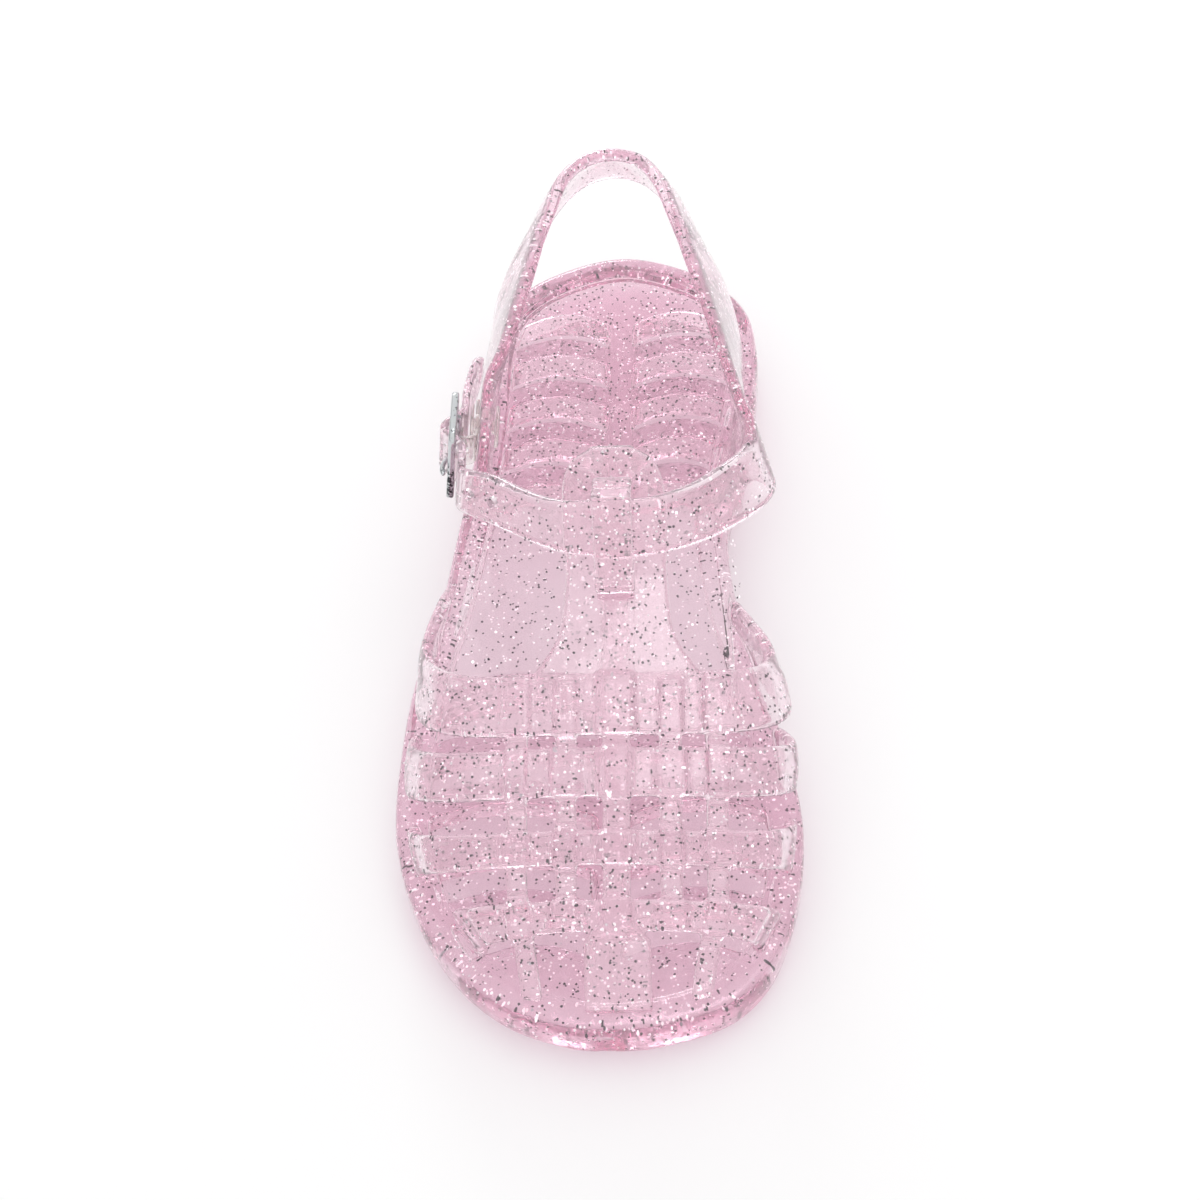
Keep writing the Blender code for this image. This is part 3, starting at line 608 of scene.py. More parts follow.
def cage_point(y, turn):
    """Points of the cage surface: turn runs from 0 at the inner foot to pi at the outer one."""
    row = cage_row(y)
    lean = np.cos(turn)
    rise = np.clip(np.sin(turn), 0.0, 1.0) ** (2 / ARCH_POWER)
    side = np.abs(lean) ** (2 / ARCH_POWER)
    inner = lean > 0
    foot_x = np.where(inner, row.med_x, row.lat_x)
    foot_y = np.where(inner, row.med_y, row.lat_y)
    out = np.where(inner, row.med_out, -row.lat_out)
    middle = (row.med_x + row.lat_x) / 2
    ground = profile_at(foot_y)[1] + FOOT_RISE
    x = middle + side * (foot_x - middle) + out * np.abs(np.sin(2 * np.asarray(turn)))
    forward = 1 - (1 - rise) ** FORWARD_POWER
    along = foot_y + (y - foot_y) * forward
    return np.stack([x, along, ground + (row.z - ground) * rise], axis=-1)


def cage_normal(y, turn):
    """Outward direction of the cage surface."""
    step = 0.02
    turn = np.clip(turn, 0.03, math.pi - 0.03)
    across = cage_point(y, turn + step) - cage_point(y, turn - step)
    along = cage_point(y + step * 10, turn) - cage_point(y - step * 10, turn)
    normal = np.cross(along, across)
    return normal / np.linalg.norm(normal, axis=-1, keepdims=True)


def turn_at(y, x):
    """The turn at which the surface row through y reaches x."""
    y, x = np.broadcast_arrays(np.asarray(y, float), np.asarray(x, float))
    low = np.full(y.shape, 0.05)
    high = np.full(y.shape, math.pi - 0.05)
    for _ in range(30):
        half = (low + high) / 2
        short = cage_point(y, half)[..., 0] > x
        low = np.where(short, half, low)
        high = np.where(short, high, half)
    return (low + high) / 2


def edge_places(half, radius, inner):
    """Offsets across a strap, crowded at its rounded edges."""
    lead = -half + radius * np.array([0.0, 0.06, 0.22, 0.5, 1.0])
    middle = np.linspace(-half + radius, half - radius, inner)[1:-1]
    return np.concatenate([lead, middle, -lead[::-1]])


def section(points, normals, offsets, half, below, above, radius):
    """Ring of a strap's cross section with rounded edges, about points on its base surface."""
    thick = (below + above) / 2
    centre = (above - below) / 2
    radius = min(radius, thick * 0.94)
    near = np.clip(half - np.abs(offsets), 0.0, radius)
    high = thick - radius + np.sqrt(np.maximum(radius**2 - (radius - near) ** 2, 0.0))
    outer = points + normals * (centre + high)[:, None]
    inner = points + normals * (centre - high)[:, None]
    return np.concatenate([inner[::-1], outer])


def seated(ring, foot=False):
    """Keeps a ring out of the sole, apart from the little that roots it in the rim."""
    root = profile_at(ring[:, 1])[1] - SINK
    ring[:, 2] = root if foot else np.maximum(ring[:, 2], root)
    return ring


def bump(place, centre, half):
    """From 1 over a strap's width down to 0 at RAISE_RUN beyond it."""
    t = np.clip((half + RAISE_RUN - abs(place - centre)) / RAISE_RUN, 0.0, 1.0)
    return t * t * (3 - 2 * t)


def long_x(strap, y):
    """Middle of a lengthwise strap, which comes closer to the others at the toe."""
    return np.interp(y, [-76.0, -62.0], [strap.toe_x, strap.x])


def long_half(strap, y):
    """Half width of a lengthwise strap. The middle one widens to the toe tab."""
    wide = TOE_TAB_WIDTH / 2 if strap.toe_x == strap.x == BAR_X else strap.width / 2
    return float(np.interp(y, [-68.6, -66.6], [wide, strap.width / 2]))


def build_cross(index):
    """Cross strap from foot to foot, raised where it runs over a lengthwise one."""
    strap = CROSS[index]
    middle = (strap.front + strap.back) / 2
    half = (strap.back - strap.front) / 2
    offsets = edge_places(half, CROSS_EDGE, 9)
    ys = middle + offsets
    edges = []
    for long in LONG:
        wide = long.width / 2 + RAISE_RUN
        centre = float(long_x(long, middle))
        edges += [centre - wide, centre + wide]
    right, left = max(edges), min(edges)
    first, last = turn_at(ys, right), turn_at(ys, left)
    turns = [share * first for share in np.linspace(0.0, 1.0, 26)[:-1]]
    turns += [turn_at(ys, x) for x in np.linspace(right, left, 90)]
    turns += [math.pi - share * (math.pi - last) for share in np.linspace(1.0, 0.0, 26)[1:]]
    rings = []
    for number, turn in enumerate(turns):
        x = cage_point(middle, np.interp(middle, ys, turn))[0]
        lift = 0.0
        for long in LONG:
            if long.over_even == (index % 2 == 1):
                lift = max(lift, float(bump(x, long_x(long, middle), long.width / 2)))
        shape = (offsets, half, STRAP_WALL, lift * RAISE, CROSS_EDGE)
        ring = section(cage_point(ys, turn), cage_normal(ys, turn), *shape)
        rings.append(seated(ring, number in (0, len(turns) - 1)))
    return loft("cross", rings)


def build_long(index):
    """Lengthwise strap, raised over every other cross strap and sunk a little between."""
    strap = LONG[index]
    rings = []
    for y in np.arange(strap.front, strap.back + 0.2, 0.4):
        lift = -DIP
        for number, cross in enumerate(CROSS):
            if strap.over_even == (number % 2 == 0):
                centre = (cross.front + cross.back) / 2
                rise = bump(y, centre, (cross.back - cross.front) / 2)
                lift = max(lift, rise * (RAISE + DIP) - DIP)
        half = long_half(strap, y)
        offsets = edge_places(half, LONG_EDGE, 5)
        turn = turn_at(y, long_x(strap, y) - offsets)
        ys = np.full(len(turn), y)
        shape = (offsets, half, STRAP_WALL - 0.15, lift, LONG_EDGE)
        rings.append(seated(section(cage_point(ys, turn), cage_normal(ys, turn), *shape)))
    return loft("long", rings)


def build_bar():
    """T-bar from the last cross strap up the instep, over the ankle strap's place."""
    rings = []
    for y, half in smooth_rows(BAR, 8):
        offsets = edge_places(half, BAR_EDGE, 13)
        turn = turn_at(y, BAR_X - offsets)
        ys = np.full(len(turn), y)
        shape = (offsets, half, STRAP_WALL - 0.25, 0.12, BAR_EDGE)
        rings.append(section(cage_point(ys, turn), cage_normal(ys, turn), *shape))
    return loft("t_bar", rounded_ends(rings, 0.5))


def build_loop():
    """Belt loop on the T-bar: a band that leaves it below the ankle strap and returns above."""
    strap = STRAP[[row.low[0] for row in STRAP].index(BAR_X)]
    low = np.array(strap.low)
    high = np.array(strap.high)
    up = (high - low) / np.linalg.norm(high - low)
    out = np.array([0.0, -up[2], up[1]])
    over = LOOP_ROOM + LOOP_WALL / 2
    path = [
        low - up * 6.9 - out * 3.4,
        low - up * 6.5 - out * 2.0,
        low - up * 5.8 + out * (over - 1.2),
        low - up * 4.2 + out * (over - 0.3),
        low + up * 0.3 + out * over,
        low * 0.5 + high * 0.5 + out * (over + 0.25),
        high - up * 0.3 + out * over,
        high + up * 1.5 + out * (over - 0.7),
        high + up * 1.9 - out * 1.4,
        high + up * 2.1 - out * 3.1,
    ]
    path = smooth_rows(path, 8)
    along = np.gradient(path, axis=0)
    half = LOOP_WIDTH / 2
    offsets = edge_places(half, LOOP_EDGE, 5)
    shape = (offsets, half, LOOP_WALL / 2, LOOP_WALL / 2, LOOP_EDGE)
    rings = []
    for point, run in zip(path, along):
        normal = np.cross([1.0, 0.0, 0.0], run)
        normal /= -np.linalg.norm(normal)
        spots = point + np.column_stack([offsets, np.zeros(len(offsets)), np.zeros(len(offsets))])
        normals = np.tile(normal, (len(offsets), 1))
        rings.append(section(spots, normals, *shape))
    return loft("strap_loop", rings)


def build_cage():
    """All straps of the toe and the T-bar run into one skin, with the crisp belt loop on it."""
    pieces = [build_bar()]
    pieces += [build_long(index) for index in range(len(LONG))]
    pieces += [build_cross(index) for index in range(len(CROSS))]
    cage = join("toe_cage_vinyl", pieces)
    fuse = cage.modifiers.new("fuse", "REMESH")
    fuse.mode = "VOXEL"
    fuse.voxel_size = SKIN_STEP * MM
    ease = cage.modifiers.new("ease", "SMOOTH")
    ease.factor = 0.5
    ease.iterations = 3
    settle(cage)
    combine(cage, [build_loop()], "UNION", 50)
    return cage


# Heel and ankle strap


def buckle_point(along, out, up):
    """World place of a point given along the strap, outwards and up, from the buckle's middle."""
    lean = np.array([math.sin(BUCKLE_LEAN), 0.0, math.cos(BUCKLE_LEAN)])
    away = np.array([-math.cos(BUCKLE_LEAN), 0.0, math.sin(BUCKLE_LEAN)])
    return np.array(BUCKLE_AT) + np.array([0.0, along, 0.0]) + away * out + lean * up


def strap_table():
    """Rows of the whole strap, rooted in the rim at the heel, with its end in the buckle."""
    rows = []
    for row in STRAP:
        low = np.array(row.low)
        if low[2] < 12.5:
            low[2] -= FOOT_RISE + SINK
        rows.append((*low, *row.high, row.belly, row.wall))
    for row in THREAD:
        low = buckle_point(row.along, row.out + THREAD_WALL / 2, row.up - row.half)
        high = buckle_point(row.along, row.out + THREAD_WALL / 2, row.up + row.half)
        rows.append((*low, *high, 0.0, THREAD_WALL))
    return rows


def build_heel_strap():
    rows = smooth_rows(strap_table(), 8)
    low, high = rows[:, 0:3], rows[:, 3:6]
    run = np.gradient((low + high) / 2, axis=0)
    rings = []
    for i, row in enumerate(rows):
        up = high[i] - low[i]
        tall = np.linalg.norm(up)
        normal = np.cross(up, run[i])
        normal /= np.linalg.norm(normal)
        offsets = edge_places(tall / 2, STRAP_EDGE, 17)
        share = (offsets / tall + 0.5)[:, None]
        points = low[i] + up * share + normal * row[6] * 4 * share * (1 - share)
        normals = np.tile(normal, (len(offsets), 1))
        rings.append(section(points, normals, offsets, tall / 2, row[7], 0.0, STRAP_EDGE))
    strap = loft("heel_strap_vinyl", rounded_ends(rings, 0.7))
    holes = [rivet_cylinder("rivet_hole", RIVET_SHANK + GAP, -7.5, -3.0)]
    way = [(-1.1, -0.6, 0.0), (-3.5, 1.0, 0.0)]
    holes.append(tube("prong_hole", way, PRONG_RADIUS + GAP, 24))
    for place in SPARE_HOLES:
        holes.append(spare_hole(rows, place))
    combine(strap, holes, "DIFFERENCE", 50)
    return strap


def spare_hole(rows, place):
    """Cutter for one of the strap's unused prong holes, place rows along it."""
    row = rows[place]
    up = row[3:6] - row[0:3]
    run = rows[place + 1, 0:3] - rows[place - 1, 0:3]
    normal = np.cross(up, run)
    normal /= np.linalg.norm(normal)
    up = up / np.linalg.norm(up)
    side = np.cross(up, normal)
    centre = (row[0:3] + row[3:6]) / 2
    turns = 2 * math.pi * np.arange(32) / 32
    circle = [HOLE_RADIUS * (math.cos(t) * side + math.sin(t) * up) for t in turns]
    rings = [[centre + normal * out + spot for spot in circle] for out in (-4.0, 3.0)]
    return loft("spare_hole", rings)


# Buckle, its tab and the rivet


def tube(name, path, radius, sides=16, round_ends=False):
    """A round rod along a path given as along, out and up from the buckle's middle."""
    path = np.array([buckle_point(*p) for p in path])
    run = np.gradient(path, axis=0)
    rings = []
    side = np.cross(run[0], buckle_point(0, 0, 1) - np.array(BUCKLE_AT))
    if np.linalg.norm(side) < 0.1 * np.linalg.norm(run[0]):
        side = np.array([0.0, 1.0, 0.0])
    for point, direction in zip(path, run):
        direction = direction / np.linalg.norm(direction)
        side = side - direction * np.dot(side, direction)
        side /= np.linalg.norm(side)
        other = np.cross(direction, side)
        angles = 2 * math.pi * np.arange(sides) / sides
        rings.append([point + radius * (math.cos(a) * side + math.sin(a) * other) for a in angles])
    return loft(name, rounded_ends(rings, radius * 0.9) if round_ends else rings)


def build_frame():
    """Rounded rectangle of squarish bar, with the centre pin cranked inwards across it."""
    half_long = FRAME_LENGTH / 2 - FRAME_BAR / 2
    half_high = FRAME_HEIGHT / 2 - FRAME_BAR / 2
    radius = FRAME_CORNER - FRAME_BAR / 2
    rings = []
    turns = 2 * math.pi * (np.arange(20) + 0.5) / 20
    flat = 2 / 3.2
    for corner, (a, u) in enumerate(((1, 1), (-1, 1), (-1, -1), (1, -1))):
        for turn in np.linspace(0, math.pi / 2, 9):
            angle = corner * math.pi / 2 + turn
            across = np.array([math.cos(angle), math.sin(angle)])
            centre = np.array([a * (half_long - radius), u * (half_high - radius)])
            ring = []
            for t in turns:
                wide = math.copysign(abs(math.cos(t)) ** flat, math.cos(t))
                deep = math.copysign(abs(math.sin(t)) ** flat, math.sin(t))
                spot = centre + across * (radius + wide * FRAME_BAR / 2)
                ring.append(buckle_point(spot[0], deep * FRAME_DEPTH / 2, spot[1]))
            rings.append(ring)
    metal = loft("buckle_frame_metal", rings, closed=True)
    reach = FRAME_HEIGHT / 2 - FRAME_BAR / 2
    pin = [(0, -0.1, reach), (0, -0.2, reach - 0.7), (0, PIN_DROP, reach - 1.6)]
    pin += [(0, PIN_DROP, 1.6 - reach), (0, -0.2, 0.7 - reach), (0, -0.1, -reach)]
    combine(metal, [tube("buckle_pin", smooth_rows(pin, 4), PIN_RADIUS)], "UNION", 40)
    return metal


def build_prong():
    path = [(*p, 0.0) for p in smooth_rows(PRONG_PATH, 5)]
    return settle(tube("buckle_prong_metal", path, PRONG_RADIUS, 16, round_ends=True))


def build_tab():
    """Clear band folded round the centre pin, slotted for the prong and holed for the rivet."""
    path = smooth_rows(TAB_PATH, 5)
    run = np.gradient(path, axis=0)
    offsets = edge_places(TAB_HALF, TAB_EDGE, 5)
    shape = (offsets, TAB_HALF, TAB_WALL / 2, TAB_WALL / 2, TAB_EDGE)
    rings = []
    for (along, out), (da, do) in zip(path, run):
        size = math.hypot(da, do)
        normal = buckle_point(-do / size, da / size, 0.0) - np.array(BUCKLE_AT)
        spots = np.array([buckle_point(along, out, up) for up in offsets])
        normals = np.tile(normal, (len(offsets), 1))
        rings.append(section(spots, normals, *shape))
    tab = loft("buckle_tab_clear", rings)
    room = PRONG_RADIUS + GAP
    slot = [(-2.2, 1.2), (2.2, 1.2), (2.2, -2.6), (-2.2, -2.6)]
    cut = loft("tab_slot", [[buckle_point(a, o, up) for a, o in slot] for up in (-room, room)])
    hole = rivet_cylinder("tab_hole", RIVET_SHANK + GAP, -4.4, -3.0)
    combine(tab, [cut, hole], "DIFFERENCE", 40)
    return tab


def rivet_ring(radius, out, sides=48):
    found = []
    for i in range(sides):
        angle = 2 * math.pi * i / sides
        along = RIVET_ALONG + radius * math.cos(angle)
        found.append(buckle_point(along, out, RIVET_UP + radius * math.sin(angle)))
    return found


def rivet_cylinder(name, radius, start, end):
    return loft(name, [rivet_ring(radius, start), rivet_ring(radius, end)])


def build_rivet():
    """Turned shape of two flat heads on a shank: radius and place outwards."""
    turned = [
        (RIVET_HEAD - 1.3, -7.40),
        (RIVET_HEAD - 0.5, -7.34),
        (RIVET_HEAD - 0.12, -7.20),
        (RIVET_HEAD, -7.0),
        (RIVET_HEAD, -6.8),
        (RIVET_HEAD - 0.1, -6.68),
        (RIVET_SHANK + 0.1, -6.65),
        (RIVET_SHANK, -6.5),
        (RIVET_SHANK, -3.3),
        (RIVET_SHANK + 0.1, -3.15),
        (RIVET_HEAD - 0.1, -3.12),
        (RIVET_HEAD, -3.0),
        (RIVET_HEAD - 0.05, -2.85),
        (RIVET_HEAD - 0.35, -2.68),
        (RIVET_HEAD - 1.3, -2.6),
    ]
    return settle(loft("rivet_clear", [rivet_ring(radius, out) for radius, out in turned]), 40)


# Glitter


def flake_tree():
    """Scatters six-sided flakes under a surface, tilted at random, and leaves out those that
    would poke through it."""
    tree = bpy.data.node_groups.new("glitter_flakes", "GeometryNodeTree")
    face = tree.interface
    face.new_socket("Geometry", in_out="INPUT", socket_type="NodeSocketGeometry")
    for name, kind in (
        ("Flakes per square metre", "NodeSocketFloat"),
        ("Flake size", "NodeSocketFloat"),
        ("Least depth", "NodeSocketFloat"),
        ("Most depth", "NodeSocketFloat"),
        ("Tilt", "NodeSocketFloat"),
        ("Seed", "NodeSocketInt"),
        ("Finish", "NodeSocketMaterial"),
    ):
        face.new_socket(name, in_out="INPUT", socket_type=kind)
    face.new_socket("Geometry", in_out="OUTPUT", socket_type="NodeSocketGeometry")
    given = node(tree, "NodeGroupInput").outputs
    seed = given["Seed"]
    points = node(tree, "GeometryNodeDistributePointsOnFaces", {
        "Mesh": given["Geometry"], "Density": given["Flakes per square metre"], "Seed": seed,
    })
    depth = node(tree, "FunctionNodeRandomValue", {
        2: given["Least depth"], 3: given["Most depth"], "Seed": seed,
    }, data_type="FLOAT")
    sink = node(tree, "ShaderNodeMath", {0: depth.outputs[1], 1: -1.0}, operation="MULTIPLY")
    inward = node(tree, "ShaderNodeVectorMath", {
        0: points.outputs["Normal"], "Scale": sink.outputs[0],
    }, operation="SCALE")
    sunk = node(tree, "GeometryNodeSetPosition", {
        "Geometry": points.outputs["Points"], "Offset": inward.outputs[0],
    })
    radius = node(tree, "ShaderNodeMath", {0: given["Flake size"], 1: 0.5}, operation="MULTIPLY")
    nearest = node(tree, "GeometryNodeProximity", {0: given["Geometry"]}, target_element="FACES")
    pokes = node(tree, "ShaderNodeMath", {
        0: nearest.outputs["Distance"], 1: radius.outputs[0],
    }, operation="LESS_THAN")
    kept = node(tree, "GeometryNodeDeleteGeometry", {
        "Geometry": sunk.outputs[0], "Selection": pokes.outputs[0],
    }, domain="POINT")
    least = node(tree, "ShaderNodeMath", {0: given["Tilt"], 1: -1.0}, operation="MULTIPLY")
    low = node(tree, "ShaderNodeCombineXYZ", {
        "X": least.outputs[0], "Y": least.outputs[0], "Z": -3.14,
    })
    high = node(tree, "ShaderNodeCombineXYZ", {"X": given["Tilt"], "Y": given["Tilt"], "Z": 3.14})
    spin = node(tree, "FunctionNodeRandomValue", {
        0: low.outputs[0], 1: high.outputs[0], "Seed": seed,
    }, data_type="FLOAT_VECTOR")
    turned = node(tree, "FunctionNodeRotateRotation", {
        "Rotation": points.outputs["Rotation"], "Rotate By": spin.outputs[0],
    }, rotation_space="LOCAL")
    flake = node(tree, "GeometryNodeMeshCircle", {
        "Vertices": 6, "Radius": radius.outputs[0],
    }, fill_type="NGON")
    size = node(tree, "FunctionNodeRandomValue", {
        2: 0.7, 3: 1.15, "Seed": seed,
    }, data_type="FLOAT")
    placed = node(tree, "GeometryNodeInstanceOnPoints", {
        "Points": kept.outputs[0],
        "Instance": flake.outputs[0],
        "Rotation": turned.outputs[0],
        "Scale": size.outputs[1],
    })
    # Painted glint: a random value for each flake, which its finish turns into a painted white
    # glint or a painted dark reflection
    painted_glint = node(tree, "FunctionNodeRandomValue", {2: 0.0, 3: 1.0, "Seed": 7}, data_type="FLOAT")
    marked = node(tree, "GeometryNodeStoreNamedAttribute", {
        "Geometry": placed.outputs[0], "Name": "painted_glint", "Value": painted_glint.outputs[1],
    }, data_type="FLOAT", domain="INSTANCE")
    real = node(tree, "GeometryNodeRealizeInstances", {"Geometry": marked.outputs[0]})
    finished = node(tree, "GeometryNodeSetMaterial", {
        "Geometry": real.outputs[0], "Material": given["Finish"],
    })
    node(tree, "NodeGroupOutput", {0: finished.outputs[0]})
    return tree


def add_glitter(name, host, tree, finish, values):
    """Flakes inside a piece of vinyl, as a plain mesh."""
    seedbed = bpy.data.objects.new(name, host.data.copy())
    bpy.context.scene.collection.objects.link(seedbed)
    spread = seedbed.modifiers.new("glitter", "NODES")
    spread.node_group = tree
    values = {**values, "Finish": finish}
    for item in tree.interface.items_tree:
        if item.in_out == "INPUT" and item.name in values:
            spread[item.identifier] = values[item.name]
    settle(seedbed)
    seedbed.data.shade_flat()
    return seedbed


# Finishes


def new_finish(name):
    """A material with nothing in its tree yet, and that tree."""
    made = bpy.data.materials.new(name)
    made.use_nodes = True
    made.node_tree.nodes.clear()
    return made, made.node_tree


def vinyl_finish(name, colour, clearness, absorb, density, roughness, shade):
    """Soft PVC injected in a polished tool: glossy and see-through, deeper in colour where it is
    thick, with the faint ripple that a flexible moulding keeps. Shadow and diffuse rays pass
    straight through, tinted by shade, so that flakes inside and the floor below stay bright."""
    made, tree = new_finish(name)
    place = node(tree, "ShaderNodeTexCoord").outputs["Object"]
    ripple = node(tree, "ShaderNodeTexNoise", {"Vector": place, "Scale": 160.0, "Detail": 2.0})
    grain = node(tree, "ShaderNodeTexNoise", {"Vector": place, "Scale": 900.0, "Detail": 1.0})
    coarse = node(tree, "ShaderNodeBump", {
        "Height": ripple.outputs[0], "Strength": 0.25, "Distance": 0.0006,
    })
    fine = node(tree, "ShaderNodeBump", {
        "Height": grain.outputs[0], "Strength": 0.12, "Distance": 0.0001,
        "Normal": coarse.outputs[0],
    })
    gloss = node(tree, "ShaderNodeMapRange", {
        "Value": ripple.outputs[0], "To Min": roughness * 0.6, "To Max": roughness * 1.4,
    })
    body = node(tree, "ShaderNodeBsdfPrincipled", {
        "Base Color": linear(colour),
        "Roughness": gloss.outputs[0],
        "IOR": 1.45,
        "Transmission Weight": clearness,
        "Normal": fine.outputs[0],
    })
    clear = node(tree, "ShaderNodeBsdfTransparent", {"Color": linear(shade)})
    light = node(tree, "ShaderNodeLightPath")
    through = node(tree, "ShaderNodeMath", {
        0: light.outputs["Is Shadow Ray"], 1: light.outputs["Is Diffuse Ray"],
    }, operation="MAXIMUM")
    mixed = node(tree, "ShaderNodeMixShader", {
        0: through.outputs[0], 1: body.outputs[0], 2: clear.outputs[0],
    })
    depth = node(tree, "ShaderNodeVolumeAbsorption", {"Color": linear(absorb), "Density": density})
    node(tree, "ShaderNodeOutputMaterial", {
        "Surface": mixed.outputs[0], "Volume": depth.outputs[0],
    })
    return made


def flake_finish():
    """Metallised polyester film cut in hexagons: each is drawn at random as a white speck, a
    painted glint, or a dark one, a painted dark reflection. The white ones also glow weakly,
    painted light that keeps them bright inside the vinyl."""
    made, tree = new_finish("silver_polyester_flake")
    painted_glint = node(tree, "ShaderNodeAttribute", attribute_name="painted_glint")
    ramp = node(tree, "ShaderNodeValToRGB", {"Fac": painted_glint.outputs["Fac"]})
    # Painted glints and dark reflections: near-black for flakes that stand for mirroring no lamp,
    # white for those that stand for catching one
    stops = ramp.color_ramp.elements
    stops[0].position = 0.0
    stops[0].color = linear("#120D16")
    stops[1].position = 1.0
    stops[1].color = linear("#FFFFFF")
    for place, colour in ((0.43, "#1E1822"), (0.47, "#A9A4AA"), (0.53, "#FFFFFF")):
        stops.new(place).color = linear(colour)
    # The emission is painted light: the white flakes glow though they are no lamp
    film = node(tree, "ShaderNodeBsdfPrincipled", {
        "Base Color": ramp.outputs[0], "Metallic": 0.8, "Roughness": 0.3,
        "Emission Color": ramp.outputs[0], "Emission Strength": 0.45,
    })
    made.cycles.emission_sampling = "NONE"
    node(tree, "ShaderNodeOutputMaterial", {"Surface": film.outputs[0]})
    return made


def chrome_finish():
    """Bright nickel-chrome plate on a die-cast buckle: mirror-like, with fine scuffs, and with
    dark specks painted in its colour, more of them towards its lower half: a painted dark
    reflection."""
    made, tree = new_finish("nickel_chrome_plate")
    place = node(tree, "ShaderNodeTexCoord").outputs["Object"]
    scuff = node(tree, "ShaderNodeTexNoise", {"Vector": place, "Scale": 1500.0, "Detail": 4.0})
    gloss = node(tree, "ShaderNodeMapRange", {
        "Value": scuff.outputs[0], "To Min": 0.05, "To Max": 0.22,
    })
    dents = node(tree, "ShaderNodeBump", {
        "Height": scuff.outputs[0], "Strength": 0.15, "Distance": 0.00005,
    })
    # Painted reflection: dark specks, more of them below the buckle's middle height, stand for the
    # dark surroundings the plate would mirror
    height = node(tree, "ShaderNodeSeparateXYZ", {0: place}).outputs["Z"]
    painted_reflection_share = node(tree, "ShaderNodeMapRange", {
        "Value": height, "From Min": 0.0345, "From Max": 0.0375, "To Min": 0.42, "To Max": 0.68,
    })
    speck = node(tree, "ShaderNodeTexNoise", {"Vector": place, "Scale": 2600.0, "Detail": 1.0})
    painted_dark_speck = node(tree, "ShaderNodeMath", {
        0: speck.outputs[0], 1: painted_reflection_share.outputs[0],
    }, operation="GREATER_THAN")
    tint = node(tree, "ShaderNodeMix", {
        0: painted_dark_speck.outputs[0], 6: linear("#CDD0D2"), 7: linear("#3B3D40"),
    }, data_type="RGBA")
    plate = node(tree, "ShaderNodeBsdfPrincipled", {
        "Base Color": tint.outputs[2],
        "Metallic": 1.0,
        "Roughness": gloss.outputs[0],
        "Normal": dents.outputs[0],
    })
    node(tree, "ShaderNodeOutputMaterial", {"Surface": plate.outputs[0]})
    return made


def floor_finish():
    """Smooth white studio sheet, almost without gloss."""
    made, tree = new_finish("white_studio_sheet")
    sheet = node(tree, "ShaderNodeBsdfPrincipled", {
        "Base Color": linear("#FAFAFA"), "Roughness": 0.7, "Specular IOR Level": 0.2,
    })
    node(tree, "ShaderNodeOutputMaterial", {"Surface": sheet.outputs[0]})
    return made


# Stage


def add_floor():
    mesh = bpy.data.meshes.new("studio_floor")
    far = FLOOR_HALF
    corners = [(x, y, -FLOOR_GAP) for x, y in ((-far, -far), (far, -far), (far, far), (-far, far))]
    mesh.from_pydata(corners, [], [(0, 1, 2, 3)])
    mesh.materials.append(floor_finish())
    floor = bpy.data.objects.new("studio_floor", mesh)
    bpy.context.scene.collection.objects.link(floor)


def add_lamp(name, place, target, size, power):
    """A round softbox of size metres and power watts."""
    data = bpy.data.lights.new(name, "AREA")
    data.shape = "DISK"
    data.size = size
    data.energy = power
    lamp = bpy.data.objects.new(name, data)
    lamp.location = place
    lamp.rotation_euler = (Vector(target) - Vector(place)).to_track_quat("-Z", "Y").to_euler()
    bpy.context.scene.collection.objects.link(lamp)


def add_light():
    """A white room whose side walls are darker, which draws the edges of the clear parts, a
    softbox above and one low behind, which lights the heel's rim."""
    world = bpy.data.worlds.new("white_room")
    bpy.context.scene.world = world
    world.use_nodes = True
    tree = world.node_tree
    tree.nodes.clear()
    way = node(tree, "ShaderNodeTexCoord").outputs["Generated"]
    split = node(tree, "ShaderNodeSeparateXYZ", {0: way})
    across = node(tree, "ShaderNodeMath", {0: split.outputs["X"]}, operation="ABSOLUTE")
    wall = node(tree, "ShaderNodeMapRange", {
        "Value": across.outputs[0], "From Min": 0.5, "From Max": 0.85,
        "To Min": 1.0, "To Max": 0.35,
    }, interpolation_type="SMOOTHSTEP")
    room = node(tree, "ShaderNodeBackground", {"Color": wall.outputs[0], "Strength": 1.02})
    node(tree, "ShaderNodeOutputWorld", {"Surface": room.outputs[0]})
    world.cycles.sampling_method = "NONE"
    add_lamp("key_softbox", (0.20, 0.12, 1.00), (0.0, 0.0, 0.0), 0.60, 1.6)
    add_lamp("rim_softbox", (-0.15, 0.85, 0.32), (0.0, 0.0, 0.02), 0.30, 1.6)


def set_bounces():
    """Lets light run on inside the vinyl, where most of its turns are inner reflections."""
    cycles = bpy.context.scene.cycles
    cycles.max_bounces = 24
    cycles.transmission_bounces = 24
    cycles.glossy_bounces = 16
    cycles.transparent_max_bounces = 24


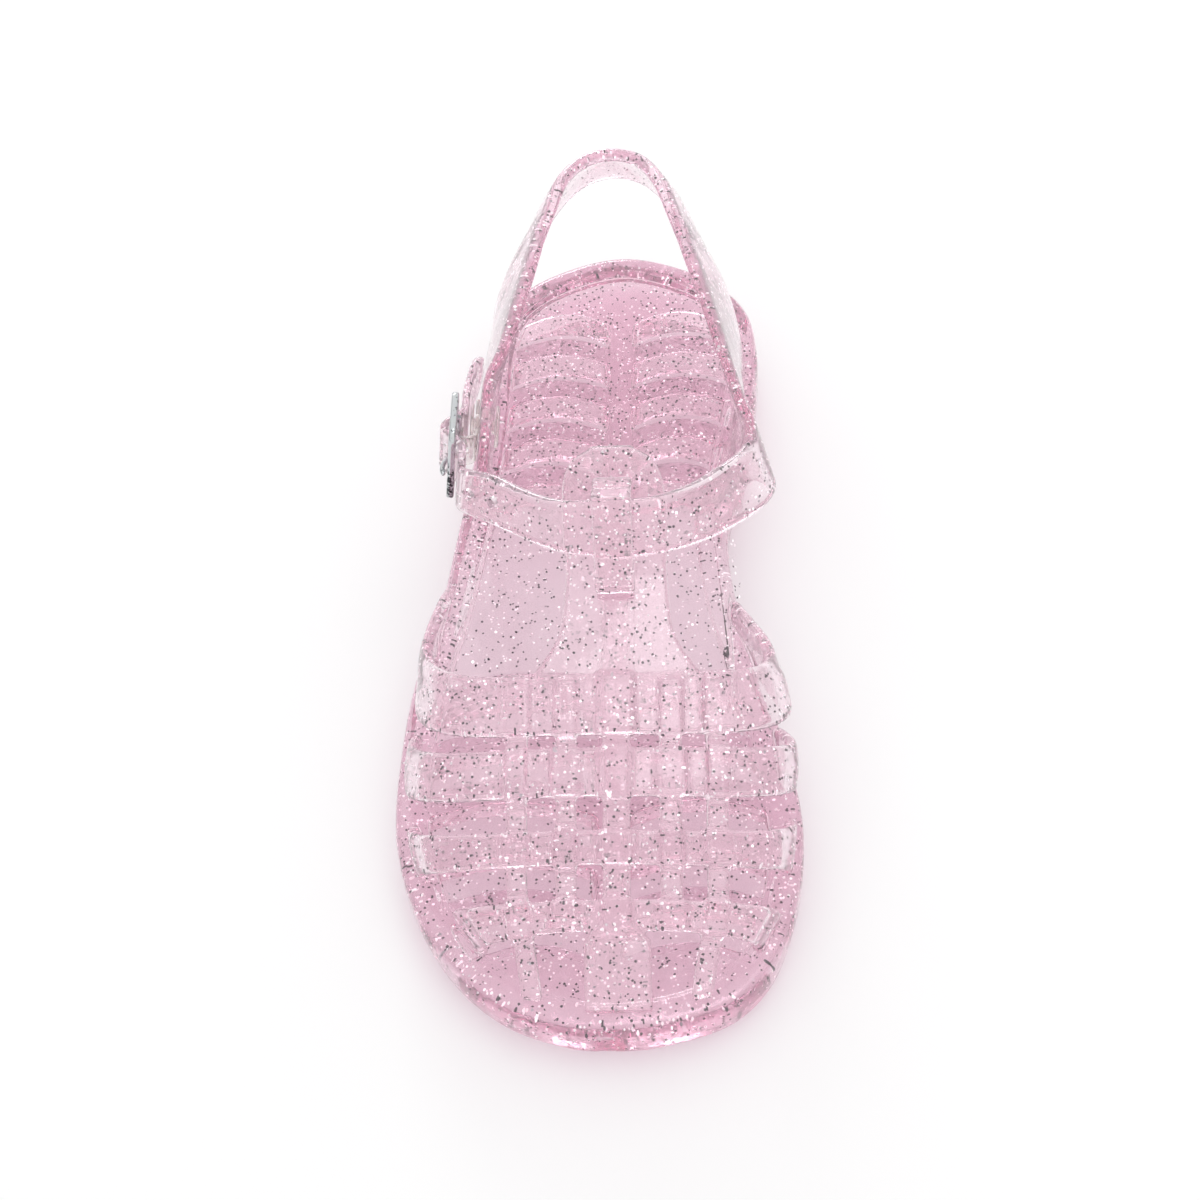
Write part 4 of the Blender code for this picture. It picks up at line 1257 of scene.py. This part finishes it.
def add_camera():
    """Camera where the photograph has it from the shoe, turned to the shoe's middle."""
    place = Vector(CAMERA_PLACE)
    ahead = Vector((0.0170, 0.6016, -0.7986)).normalized()
    up = Vector((0.0226, 0.7983, 0.6018))
    right = ahead.cross(up).normalized()
    up = right.cross(ahead)
    start = Matrix((right, up, -ahead)).transposed()
    aim = (Vector(CAMERA_AIM) - place).normalized()
    turn = ahead.rotation_difference(aim).to_matrix()
    data = bpy.data.cameras.new("photo_camera")
    data.sensor_width = 36.0
    data.lens = CAMERA_LENS
    camera = bpy.data.objects.new("photo_camera", data)
    camera.matrix_world = Matrix.Translation(place) @ (turn @ start).to_4x4()
    bpy.context.scene.collection.objects.link(camera)
    bpy.context.scene.camera = camera


def finish_piece(piece, finish, slot, *replaced):
    """Gives a piece its finish, or leaves what it has, puts it under the root body and hides the
    imported parts it stands for.
    """
    if finish:
        piece.data.materials.clear()
        piece.data.materials.append(finish)
    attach(piece, "root")
    if replaced:
        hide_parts(*replaced)


def main():
    pink = vinyl_finish(
        "glitter_vinyl", colour="#FFF7FA", clearness=0.87, absorb="#F759BC", density=20.0,
        roughness=0.06, shade="#F3EDF0",
    )
    clear = vinyl_finish(
        "clear_vinyl", colour="#F6F4F2", clearness=0.95, absorb="#E8E4DC", density=30.0,
        roughness=0.06, shade="#F4F2F0",
    )
    silver = flake_finish()
    chrome = chrome_finish()
    sole = build_sole()
    cage = build_cage()
    strap = build_heel_strap()
    tree = flake_tree()
    for name, host, density, depth, seed in (
        ("sole_glitter", sole, 0.42, SOLE_FLAKE_DEPTH, 3),
        ("toe_cage_glitter", cage, 0.36, STRAP_FLAKE_DEPTH, 5),
        ("heel_strap_glitter", strap, 0.36, STRAP_FLAKE_DEPTH, 8),
    ):
        flakes = add_glitter(name, host, tree, silver, {
            "Flakes per square metre": density * PER_SQUARE_MM,
            "Flake size": FLAKE_SIZE * MM,
            "Least depth": FLAKE_LEAST_DEPTH * MM,
            "Most depth": depth * MM,
            "Tilt": FLAKE_TILT,
            "Seed": seed,
        })
        finish_piece(flakes, None, "glitter_pvc")
    finish_piece(sole, pink, "glitter_pvc", "sole")
    finish_piece(cage, pink, "glitter_pvc", "upper")
    finish_piece(strap, pink, "glitter_pvc", "heel_strap")
    finish_piece(build_frame(), chrome, "chrome", "buckle_frame")
    finish_piece(build_prong(), chrome, "chrome", "buckle_prong")
    finish_piece(build_tab(), clear, "clear_pvc", "buckle_tab")
    finish_piece(build_rivet(), clear, "clear_pvc", "rivet")
    add_floor()
    add_light()
    set_bounces()
    add_camera()
    bpy.context.scene.view_settings.view_transform = "Standard"


main()
